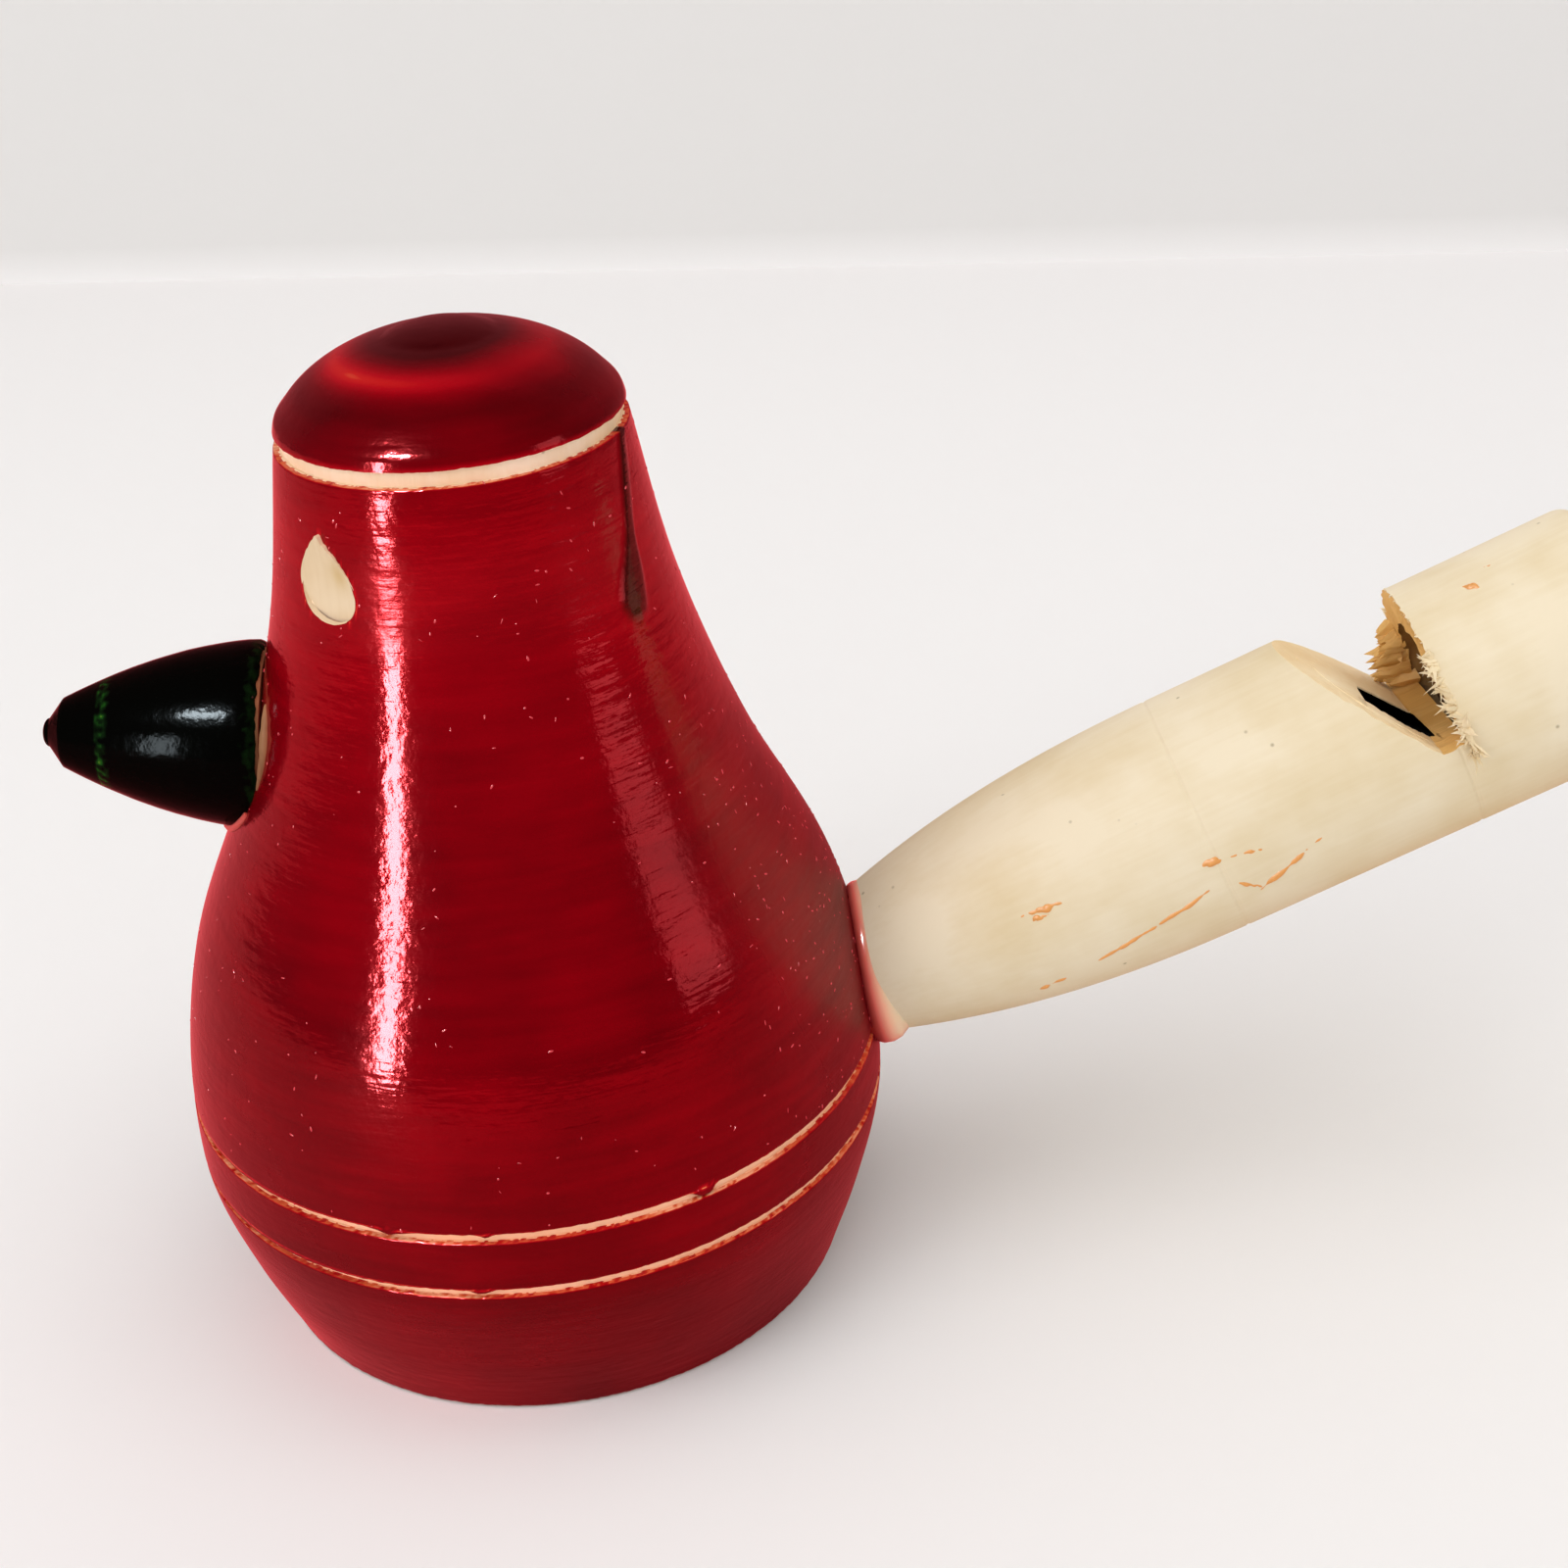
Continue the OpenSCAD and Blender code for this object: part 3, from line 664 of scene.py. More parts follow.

# %% [markdown]
# ## Bare wood in the eyes
# The gouge went a little way into the wood and left a shallow hollow. A tan patch off the middle of it is painted
# shade. The CAD body is whole there, so each eye gets a thin plug of bare wood: rings of the same teardrop, each
# smaller than the last and a little deeper.

# %% Lay bare the eyes
eye_edge_deep, eye_more_deep, plug_deep = 0.1, 0.16, 1.0
least, eye_fit = 0.04, 0.99
steps = [(f, eye_edge_deep + eye_more_deep * (1 - f * f)) for f in np.linspace(least, 1, 9)]
for name, (side, seed) in eyes.items():
    line = eye_line(seed) * eye_fit
    rings = [[(flank_r(eye_z) - deep, f * a, f * h) for a, h in line]
             for f, deep in steps + [(1, plug_deep), (least, plug_deep)]]
    plug = loft(name, rings, eye_wood)
    at = points_of(plug)
    # Painted shade: a tan patch off the middle of the hollow.
    set_number(plug, "tan_stain", 0.9 * np.exp(-((at[:, 1] - 0.7) / 0.7) ** 2 - ((at[:, 2] - 0.3) / 0.8) ** 2))
    keep_piece(name, set_at_eye(plug, side), "turned_wood")

# %% [markdown]
# ## How deep the lac lies
# The colour needs a thickness at every point. It is thin within a hair of each scored edge and round the eyes,
# and on a ring round the crown where the stick slid off. That ring is made thinner, and so more orange, on the
# side that faces the front-left lamp, which is painted light, and a darker ring nearer the crown's rim is painted
# shade. The colour also deepens down the body towards the foot, partly as painted shade. It is thick on the
# button, and a run of dark green lac came down from the neck ring on the tail's side. Each is worked out from
# where a vertex lies.

# %% Work out the depth
def eye_gap(points, side, seed):
    """Distance in mm from the edge of one eye, 9 for points far from it."""
    angle = math.pi + side * eye_turn
    out = points[:, 0] * math.cos(angle) + points[:, 1] * math.sin(angle)
    across = -points[:, 0] * math.sin(angle) + points[:, 1] * math.cos(angle)
    gap = np.full(len(points), 9.0)
    near = (out > 0) & (np.abs(across) < 4) & (np.abs(points[:, 2] - eye_z) < 4)
    spots = np.stack([across[near], points[near, 2] - eye_z], 1)
    gap[near] = np.min([np.hypot(*(spots - edge).T) for edge in eye_line(seed)], axis=0)
    return gap


drip_top = (math.radians(-18), 51.0)
drip_end = (math.radians(-36), 43.0)
drip_half = 0.4
drip_bulb = 1.0


def drip_mask(points):
    """1 on the run of green lac below the neck ring, 0 beside it."""
    part = np.clip((points[:, 2] - drip_top[1]) / (drip_end[1] - drip_top[1]), 0, 1)
    angle = drip_top[0] + (drip_end[0] - drip_top[0]) * part ** 0.8
    off = np.arctan2(points[:, 1], points[:, 0]) - angle
    beside = np.hypot(points[:, 0], points[:, 1]) * np.abs(off)
    below = np.clip(drip_end[1] - points[:, 2], 0, None)
    half = drip_half + (drip_bulb - drip_half) * smooth(part, 0.55, 0.95)
    return 1 - smooth(np.hypot(beside, below), half * 0.75, half * 1.25)


# %% Smear the lac over the ring and raise the run
bridges = [("body", -62.6, 0.45, 0.5), ("body", -61.0, 0.25, 0.35), ("body", -111.0, 0.9, 0.3),
           ("body", -96.0, 0.3, 0.22), ("body", 40.0, 0.5, 0.4), ("body", -150.0, 10, 0.2),
           ("band", -145.0, 12, 0.22), ("band", -98.0, 0.5, 0.25), ("band", 70.0, 0.8, 0.4)]
run_height = 0.12


def move_points(mesh, points):
    """Puts a mesh's vertices at new places in mm."""
    mesh.vertices.foreach_set("co", (points * mm).ravel())
    mesh.update()


for name, low_edge in (("band", lower_groove + groove_w), ("body", upper_groove + groove_w)):
    at = points_of(coats[name])
    azimuth = np.degrees(np.arctan2(at[:, 1], at[:, 0]))
    reach = np.hypot(at[:, 0], at[:, 1])
    for coat, turned_by, half, over in bridges:
        beside = np.radians(azimuth - turned_by) * reach
        fade = np.exp(-(beside / half) ** 2) * np.clip(1 - (at[:, 2] - low_edge) / 0.5, 0, 1)
        at[:, 2] -= over * fade * (coat == name)
    outside = reach > flank_r(at[:, 2]) - lac_t / 2
    proud = 1 + run_height * drip_mask(at) * outside / reach
    at[:, 0] *= proud
    at[:, 1] *= proud
    print(name, "coat moved by mm, at most:", np.abs(at - points_of(coats[name])).max().round(2))
    move_points(coats[name], at)

# %% Store the depth on the coats
groove_edges = {"foot": [lower_groove], "band": [lower_groove + groove_w, upper_groove],
                "body": [upper_groove + groove_w, neck_z - head_groove_w / 2]}
dusty_place = np.array([19, -4, 25])
dusty_reach = np.array([12, 9, 16])
grip_z = 45.2
# Partly painted shade: the colour deepens down the body towards the foot, which faces the floor.
depth_and_shade_by_height = ([0, 10, 13, 20, 32, 40, 47, 51], [0.86, 0.8, 0.72, 0.7, 0.62, 0.53, 0.49, 0.56])
for name in groove_edges:
    at = points_of(coats[name])
    gap = np.min([np.abs(at[:, 2] - edge) for edge in groove_edges[name]], axis=0)
    if name == "body":
        gap = np.min([gap] + [eye_gap(at, *eye) for eye in eyes.values()], axis=0)
    deep = np.interp(at[:, 2], *depth_and_shade_by_height) * (0.02 + 0.98 * smooth(gap, 0.0, 0.09))
    set_number(coats[name], "lac_depth", deep)
    set_number(coats[name], "green_drip", drip_mask(at))
    dusty = np.exp(-np.sum(((at - dusty_place) / dusty_reach) ** 2, axis=1) ** 2)
    gripped = np.exp(-((at[:, 2] - grip_z) / 2.6) ** 4) * (at[:, 1] < 0)
    set_number(coats[name], "dusty", np.maximum(dusty, 0.2 * gripped))
    print(name, "coat: lac depth from", deep.min().round(2), "to", deep.max().round(2))

# %% Store the depth on the crown
thin_ring_r = 5.5
thin_ring_half = 0.8
lit_side_way = math.radians(-145)
# A darker ring near the crown's rim is painted shade, standing for a shallow hollow there.
shade_ring_r = 7.4
at = points_of(coats["cap"])
reach = np.hypot(at[:, 0], at[:, 1])
# Painted light: the ring is made thinner, so more orange, on the side that faces the front-left lamp.
facing = np.cos(np.arctan2(at[:, 1], at[:, 0]) - lit_side_way)
ring = np.exp(-((reach - thin_ring_r) / thin_ring_half) ** 2)
deep = (0.69 - (0.2 + 0.4 * np.clip(facing, 0, 1)) * ring + 0.5 * (1 - smooth(reach, 2.6, 4.9))
        + 0.1 * np.exp(-((reach - shade_ring_r) / 0.7) ** 2) - 0.45 * smooth(reach, neck_r - 0.1, neck_r))
set_number(coats["cap"], "lac_depth", deep)
set_number(coats["cap"], "green_drip", np.zeros(len(at)))

keep_piece("red_coat_foot", coats["foot"], "red_lac", "foot_lacquer")
keep_piece("red_coat_band", coats["band"], "red_lac", "band_lacquer")
body_coat = keep_piece("red_coat_body", coats["body"], "red_lac", "body_lacquer")
keep_piece("red_coat_crown", coats["cap"], "red_lac", "cap_lacquer")

# %% [markdown]
# ## The beak
# The beak is a cone with bulging sides and a blunt tip where it was parted off. Its coat runs down to the body.
# The same lathe turns it, rippled more, because it was done fast.

# %% Turn the beak's coat
beak_len = 12.1
beak_power = 1.75
beak_close = 1.175 * beak_len
beak_shoulder = 0.905 * beak_len
beak_neck = 0.97 * beak_len
nub_r = 0.15 * beak_r
bare_collar = 0.15
base_round = 0.9
base_start = 0.3
thin_band = (7.8, 8.6, 8.75, 8.9)


def beak_side(s):
    """Radius of the beak's bulging cone at a distance from its base."""
    return beak_r * (1 - np.clip(s / beak_close, 0, 1) ** beak_power)


def beak_line(inset):
    """Half outline of the beak from the edge of its coat to the nub, at some depth below the lac."""
    s = np.concatenate([bare_collar + np.array([0, 0.04, 0.1, 0.2, 0.35]), np.linspace(1.1, beak_shoulder, 60)])
    into = np.clip(base_round - (s - bare_collar + base_start), 0, None)
    side = np.stack([beak_side(s) - (base_round - np.sqrt(base_round ** 2 - into ** 2)) - inset, s], 1)
    u = np.linspace(0, 1, 14)[1:]
    tip = np.stack([nub_r + (beak_side(beak_shoulder) - nub_r) * (1 - u) - inset,
                    beak_shoulder + (beak_neck - beak_shoulder) * u], 1)
    a = np.linspace(0, math.pi / 2, 10)[1:]
    nub = np.stack([(nub_r - inset) * np.cos(a), beak_neck + (beak_len - beak_neck - inset) * np.sin(a)], 1)
    nub[-1, 0] = 0
    return np.concatenate([side, tip, nub])


outside, inside = beak_line(0), beak_line(lac_t + sunk)[::2]
inside = inside if inside[-1, 0] == 0 else np.concatenate([inside, [[0, beak_len - lac_t - sunk]]])
outline = np.concatenate([inside[::-1], outside])
weight = np.clip(1 - (outline[:, 1] - bare_collar) / 0.4, 0, 1)
beak_coat = turn_on_lathe(outline, green_lac, 256, ripple=0.012, ripple_mm=1.6, wander=weight, wander_mm=0.5,
                          nick_mm=0.7, seed=5.0)
at = points_of(beak_coat)
from_base = at[:, 2]
band = smooth(from_base, *thin_band[:2]) * (1 - smooth(from_base, *thin_band[2:]))
band[band > 0] *= [0.75 + 0.9 * noise.noise(Vector(p) / 0.35) for p in at[band > 0]]
set_number(beak_coat, "lac_depth", 0.9 - 0.66 * band - 0.35 * (1 - smooth(from_base, 0.4, 1.1)))
beak_coat.transform(beak_frame)
keep_piece("green_coat_beak", close_shell(beak_coat, 60), "green_lac", "beak_lacquer")

# %% [markdown]
# ## The tail, which is the whistle
# The tail was turned in one piece with its tenon, drilled from the mouth end, and opened with a saw cut and a
# knife ramp. The saw tore the wood: its face is rough and the rim is frayed. So the tube is turned on the lathe,
# and a wedge with rough sides is taken out of it. The wedge carries the end-grain finish into the cut.

# %% Turn the tube
tube_start = -1.2
tenon_r = float(swell_r(tube_start))
tenon_end = -10.2
mouth_round = 1.2
bore_r = 4.9
bore_len = 37.0
row_mm = 0.25
score_lines = [20.8, 34.9]
score_deep = 0.05
score_half = 0.09
fine = np.linspace(-0.24, 0.24, 9)
even = np.arange(tube_start, tube_len - mouth_round, row_mm)
along_tube = np.sort(np.concatenate([even] + [s + fine for s in score_lines]))
scored = sum(score_deep * np.exp(-((along_tube - s) / score_half) ** 2) for s in score_lines)
outer = np.stack([swell_r(along_tube) - scored, along_tube], 1)
a = np.linspace(0, math.pi / 2, 12)
lip = np.stack([tube_r - mouth_round * (1 - np.cos(a)), tube_len - mouth_round * (1 - np.sin(a))], 1)
bore_end = tube_len - bore_len
bore = np.stack([np.full(80, bore_r), np.linspace(tube_len, bore_end, 80)], 1)
outline = np.concatenate([[[0, tenon_end], [tenon_r - 0.5, tenon_end], [tenon_r, tenon_end + 0.5]], outer, lip,
                          bore, [[0, bore_end - 0.6 * bore_r]]])
tube = turn_on_lathe(outline, tail_wood, 224, ripple=0.004, ripple_mm=5, seed=6.0)
print("tube:", len(outline), "rows")

# %% Saw the window
cut_s = tube_len - 11.1
window_len = 6.9
window_depth = 7.2
kerf_w = 1.5
window_turn = math.radians(11)
window_floor = tube_r - window_depth
wedge_top = tube_r + 1
wedge_run = kerf_w + (window_len - kerf_w) * (wedge_top - window_floor) / window_depth
wedge_half = 9

cross = [(window_floor, cut_s), (wedge_top, cut_s), (wedge_top, cut_s - wedge_run),
         (window_floor, cut_s - kerf_w)]
wedge = bpy.data.meshes.new("wedge")
wedge.from_pydata([(x * mm, side * wedge_half * mm, s * mm) for side in (-1, 1) for x, s in cross], [],
                  [(0, 1, 2, 3), (7, 6, 5, 4), (0, 4, 5, 1), (1, 5, 6, 2), (2, 6, 7, 3), (3, 7, 4, 0)])
wedge.materials.append(sawn_wood)
wedge.materials.append(ramp_wood)
wedge.polygons[4].material_index = 1
shell = bmesh.new()
shell.from_mesh(wedge)
bmesh.ops.subdivide_edges(shell, edges=shell.edges, cuts=80, use_grid_fill=True)
bmesh.ops.triangulate(shell, faces=shell.faces)
for vertex in shell.verts:
    x, y, s = vertex.co / mm
    if s > cut_s - 0.01:
        tear = noise.noise(Vector((x / 0.9, y / 0.5, 0)))
        vertex.co.z += mm * (0.12 * tear + 0.08 * noise.noise(vertex.co / (0.3 * mm)))
    elif x < wedge_top - 0.01:
        rag = noise.noise(Vector((x / 0.7, y / 0.5, s / 0.7)))
        vertex.co.x += mm * (0.03 + 0.14 * float(smooth(y, 2.5, 5.0))) * rag
shell.to_mesh(wedge)
shell.free()
wedge.transform(Matrix.Rotation(-window_turn, 4, "Z"))
tube = close_shell(carve(tube, close_shell(wedge)), crease=35)
tube.materials.append(shaded_bore_wood)
for face in tube.polygons:
    middle_r = math.hypot(face.center.x, face.center.y) / mm
    in_bore = middle_r < bore_r + 0.04 and bore_end - 4 < face.center.z / mm
    if in_bore and tube.materials[face.material_index] == tail_wood:
        face.material_index = len(tube.materials) - 1
used = np.bincount([face.material_index for face in tube.polygons])
print("tube after sawing:", [(m.name if m else "none", int(n)) for m, n in zip(tube.materials, used)])

# %% Shade the tube
at = points_of(tube)
angle = np.degrees(np.arctan2(at[:, 1], at[:, 0]))
# Painted shade for the bore: near black along the drilled part, brown on the mouth side of the cut.
mouth_side = smooth(at[:, 2], cut_s - 0.3, cut_s + 0.2)
set_number(tube, "bore_dark", 1 - 0.6 * mouth_side)
# A tan stain on the top near the body is the wood's own. The tan under the tail, from a quarter turn below the
# top, is painted shade.
top_side = np.exp(-(angle / 38) ** 2)
near_body = 0.15 * top_side * (1 - smooth(at[:, 2], 5, 19))
set_number(tube, "tan_stain", np.clip(near_body + 0.5 * smooth(np.abs(angle), 90, 150), 0, 1))
tube.transform(tail_frame)
keep_piece("whistle_tail", tube, "tail_wood", "whistle_tube")

# %% [markdown]
# ## The tongue of the ramp
# The ramp runs on across the bore as a thin tongue, which splits the breath, and only a slot along its near
# side shows the dark inside. The saw's floor closes the bore below the cut. Both are one thin sheet in the
# plane of the ramp and then of the floor. It is laid out row by row, and a second strip makes the ragged lip of
# the slot.

# %% Lay the tongue
slope = (wedge_top - window_floor) / (wedge_run - kerf_w)
slot_far = -0.9
slot_near_by_s = ([31.5, 31.9, 32.9, 34.4], [2.2, 2.7, 3.9, 3.9])
slot_opens, slot_closes = (31.65, 31.9), (34.1, 34.45)
tongue_t = 0.06
proud = 0.02
tucked_in = 0.25


def lay_sheet(start, end, sides):
    """Closed thin sheet under the ramp and the saw's floor, between two sides given for each distance."""
    out = Vector((1, 0, slope)).normalized()
    rings = []
    for s in np.linspace(start, end, 60):
        x = window_floor + max(cut_s - kerf_w - s, 0) * slope
        edge = math.sqrt(max(bore_r ** 2 - x ** 2, 0)) + tucked_in
        row = [Vector((x, y, s)) for y in np.linspace(*sides(s, edge), 16)]
        rings.append([p + proud * out for p in row] + [p - tongue_t * out for p in row[::-1]])
    return loft("sheet", rings)


def tongue_sides(s, edge):
    """The tongue reaches from the far wall to the near one, or to the slot where that is open."""
    slot = float(smooth(s, *slot_opens) * (1 - smooth(s, *slot_closes)))
    ragged = 0.1 * noise.noise(Vector((s / 0.25, 0, 0)))
    return -edge, edge + (slot_far + ragged - edge) * slot


def lip_sides(s, edge):
    """The lip reaches from the slot's torn near side to the near wall."""
    return np.interp(s, *slot_near_by_s) + 0.5 * noise.noise(Vector((s / 0.22, 3, 0))), edge


def join(name, parts, *finishes):
    """Several meshes as one, with its finishes."""
    joined = bmesh.new()
    for part in parts:
        joined.from_mesh(part)
    mesh = bpy.data.meshes.new(name)
    joined.to_mesh(mesh)
    joined.free()
    for finish in finishes:
        mesh.materials.append(finish)
    return mesh


tongue = join("tongue", [lay_sheet(cut_s - 6, cut_s - 0.02, tongue_sides), lay_sheet(31.5, 34.5, lip_sides)],
              ramp_wood, sawn_wood)
for face in tongue.polygons:
    face.material_index = int(face.center.z > (cut_s - kerf_w) * mm)
tongue.transform(tail_frame @ Matrix.Rotation(-window_turn, 4, "Z"))
keep_piece("ramp_tongue", close_shell(tongue, 35), "tail_wood")

# %% [markdown]
# ## Torn fibres
# Where the saw came out, it pulled the wood's fibres loose along the near rim of the cut, and a splinter stayed
# on the far rim. Fibres that stand along a line are a task for Geometry Nodes: points along the rim, a slender
# cone on each, turned and stretched at random from a fixed seed.

# %% Build the fringe
fringe, given, result = new_tree("torn_fringe", {
    "Fibres": "Int", "Length": "Float", "Width": "Float", "Way": "Vector", "Spread": "Float", "Seed": "Int",
    "Finish": "Material"})
rim = add(fringe, "GeometryNodeMeshToCurve", {0: given["Geometry"]})
roots = add(fringe, "GeometryNodeResampleCurve", {0: rim, "Count": given["Fibres"]})
cone = add(fringe, "GeometryNodeMeshCone", {
    "Vertices": 5, "Side Segments": 3, "Radius Top": 0.0, "Radius Bottom": given["Width"],
    "Depth": given["Length"]})
jitter = add(fringe, "FunctionNodeRandomValue", {
    0: (-1, -1, -1), 1: (1, 1, 1), "Seed": given["Seed"]}, data_type="FLOAT_VECTOR")
stray = add(fringe, "ShaderNodeVectorMath", {0: jitter, "Scale": given["Spread"]}, operation="SCALE")
way = add(fringe, "ShaderNodeVectorMath", {0: given["Way"], 1: stray}, operation="ADD")
aim = add(fringe, "FunctionNodeAlignRotationToVector", {"Vector": way}, axis="Z")
size = add(fringe, "FunctionNodeRandomValue", {
    0: (0.5, 0.5, 0.25), 1: (1.7, 1.3, 1.25), "Seed": given["Seed"]}, data_type="FLOAT_VECTOR")
fibres = add(fringe, "GeometryNodeInstanceOnPoints", {0: roots, "Instance": cone, "Rotation": aim, "Scale": size})
real = add(fringe, "GeometryNodeRealizeInstances", {0: fibres})
curl = add(fringe, "ShaderNodeTexNoise", {"Scale": 1 / (0.6 * mm), "Detail": 1.0})
curl = add(fringe, "ShaderNodeVectorMath", {0: curl.outputs["Color"], 1: (0.5, 0.5, 0.5)}, operation="SUBTRACT")
curl = add(fringe, "ShaderNodeVectorMath", {0: curl, "Scale": 0.5 * mm}, operation="SCALE")
bent = add(fringe, "GeometryNodeSetPosition", {0: real, "Offset": curl})
finished = add(fringe, "GeometryNodeSetMaterial", {0: bent, "Material": given["Finish"]})
fringe.links.new(finished.outputs[0], result)
print("fringe:", len(fringe.nodes), "nodes")


# %% Fray the rim of the saw cut
def on_tube(s, degrees, r=tube_r):
    """A point of the tail in mm, from its distance along the tube and its angle from the top."""
    return (r * math.cos(math.radians(degrees)), r * math.sin(math.radians(degrees)), s)


frays = [("near_rim", 36, 82, 90, 1.1, 0.17, (0.1, 0.3, -1), 0.75, 11),
         ("near_corner", 74, 88, 36, 1.5, 0.18, (0.2, 0.9, -0.5), 0.9, 12),
         ("far_rim", -60, -74, 12, 0.5, 0.1, (0.2, -0.2, -1), 0.6, 13),
         ("top_rim", -30, 36, 36, 0.25, 0.08, (0, 0.1, -1), 0.7, 14)]
tufts = []
for label, start, end, count, long_mm, wide_mm, way, spread, seed in frays:
    rim = chain_mesh([on_tube(cut_s + 0.1, a, tube_r - 0.12) for a in np.linspace(start, end, 24)])
    tufts.append(run_tree(fringe, rim, Fibres=count, Length=long_mm * mm, Width=wide_mm * mm, Way=way,
                          Spread=spread, Seed=seed, Finish=torn_wood))
    print(label, len(tufts[-1].polygons), "faces")

# %% Leave the splinter
splinters = []
for start, end, long_mm, spread, seed in ((-70, -84, 1.2, 0.3, 15), (-82, -100, 2.1, 0.1, 16)):
    tooth = [on_tube(cut_s, angle, r) for angle in np.linspace(start, end, 7) for r in (5.2, 5.9, 6.6)]
    splinters.append(run_tree(fringe, chain_mesh(tooth), Fibres=44, Length=long_mm * mm, Width=0.6 * mm,
                              Way=(0.1, 0, -1), Spread=spread, Seed=seed, Finish=sawn_wood))
for name, parts, finish in (("torn_splinter", splinters, sawn_wood), ("torn_fringe", tufts, torn_wood)):
    torn = join(name, parts, finish)
    torn.transform(tail_frame)
    keep_piece(name, close_shell(torn, 60), "tail_wood")

# %% [markdown]
# ## Squeezed-out glue
# Glue follows the line where two parts meet: all round the tail, thicker below, where it ran before it set, and
# in a short blob under the beak. That line is found from the two shapes, and a tree sweeps a lumpy round bead
# along it.

# %% Build the bead
bead, given, result = new_tree("glue_bead", {
    "Radius": "Float", "Lump Size": "Float", "Least": "Float", "Seed": "Float", "Finish": "Material"})
line = add(bead, "GeometryNodeMeshToCurve", {0: given["Geometry"]})
circle = add(bead, "GeometryNodeCurvePrimitiveCircle", {"Resolution": 16, "Radius": given["Radius"]})
pitch = add(bead, "ShaderNodeMath", {0: 1, 1: given["Lump Size"]}, operation="DIVIDE")
lumps = add(bead, "ShaderNodeTexNoise", {"Scale": pitch, "W": given["Seed"], "Detail": 1.0}, noise_dimensions="4D")
lumps = add(bead, "ShaderNodeMapRange", {0: lumps, 1: 0.3, 2: 0.7, 3: given["Least"], 4: 1.2})
lumps = add(bead, "ShaderNodeMath", {0: lumps, 1: 0.02}, operation="MAXIMUM")
thick = add(bead, "GeometryNodeInputNamedAttribute", {0: "weight"}, data_type="FLOAT")
thick = add(bead, "ShaderNodeMath", {0: thick, 1: lumps}, operation="MULTIPLY")
swept = add(bead, "GeometryNodeCurveToMesh", {0: line, 1: circle, "Scale": thick, "Fill Caps": True})
real = add(bead, "GeometryNodeRealizeInstances", {0: swept})
finished = add(bead, "GeometryNodeSetMaterial", {0: real, "Material": given["Finish"]})
bead.links.new(finished.outputs[0], result)
print("bead:", len(bead.nodes), "nodes")


# %% Glue the tail
def meet_body(part_frame, radius, turn, low, high):
    """Where a turned part's side meets the body, at angles round the part: distances along it, and places."""
    axes, base = np.array(part_frame.to_3x3()), np.array(part_frame.translation) / mm
    low, high = np.full(len(turn), low), np.full(len(turn), high)
    for _ in range(40):
        s = (low + high) / 2
        ring = np.stack([radius(s) * np.cos(turn), radius(s) * np.sin(turn), s], 1) @ axes.T + base
        inside = np.hypot(ring[:, 0], ring[:, 1]) < flank_r(ring[:, 2])
        low, high = np.where(inside, s, low), np.where(inside, high, s)
    return s, ring


bead_sunk = 0.5
turns = np.linspace(0, math.tau, 180, endpoint=False)
seam = meet_body(tail_frame, swell_r, turns, -4.0, 4.0)[0]
sag = smooth(-np.cos(turns), -0.9, 0.8)
bead_r = swell_r(seam) - bead_sunk
middle = np.stack([bead_r * np.cos(turns), bead_r * np.sin(turns), seam + 0.4 + 0.35 * sag], 1)
tail_glue = run_tree(bead, chain_mesh(middle, 0.55 + 0.45 * sag, closed=True), Radius=1.3 * mm, Lump_Size=4 * mm,
                     Least=0.85, Seed=2.0, Finish=glue)
at = points_of(tail_glue)
past_seam = at[:, 2] - np.interp(np.arctan2(at[:, 1], at[:, 0]) % math.tau, turns, seam, period=math.tau)
set_number(tail_glue, "glue_red", 1 - smooth(past_seam, -0.3, 1.6))
tail_glue.transform(tail_frame)
keep_piece("glue_round_tail", close_shell(tail_glue), "glue", "tail_glue_bead")

# %% Glue the beak
def beak_contact(degrees):
    """Points in mm where the beak meets the body, at angles round the beak from its top towards the viewer."""
    return meet_body(beak_frame, beak_side, -np.radians(degrees), -3.0, 6.0)[1]


under = np.linspace(118, 242, 70)
fade = np.sin(np.linspace(0.12, math.pi - 0.12, 70)) ** 0.5
blob = run_tree(bead, chain_mesh(beak_contact(under), fade), Radius=0.42 * mm, Lump_Size=2.5 * mm, Least=0.7,
                Seed=5.0, Finish=glue)
set_number(blob, "glue_red", np.full(len(blob.vertices), 0.8))
keep_piece("glue_under_beak", close_shell(blob), "glue", "beak_glue_bead")
side = np.linspace(46, 98, 40)
fade = np.sin(np.linspace(0.1, math.pi - 0.1, 40)) ** 0.7
keep_piece("bare_edge_at_beak", close_shell(run_tree(
    bead, chain_mesh(beak_contact(side), fade), Radius=0.32 * mm, Lump_Size=1.2 * mm, Least=0.75, Seed=6.0,
    Finish=collar_wood)), "turned_wood")

# %% [markdown]
# ## Strokes of lac on the tail
# Fingers with lac on them left thin orange strokes along the tail. Each runs from one place to another, given
# as a distance along the tube and an angle round it from the top. The bead tree serves again: a thin one, sunk
# half into the wood, whose lumps fall to nothing here and there, so that the stroke breaks up. To the eye such a
# film is a dull orange, too thin to shine.

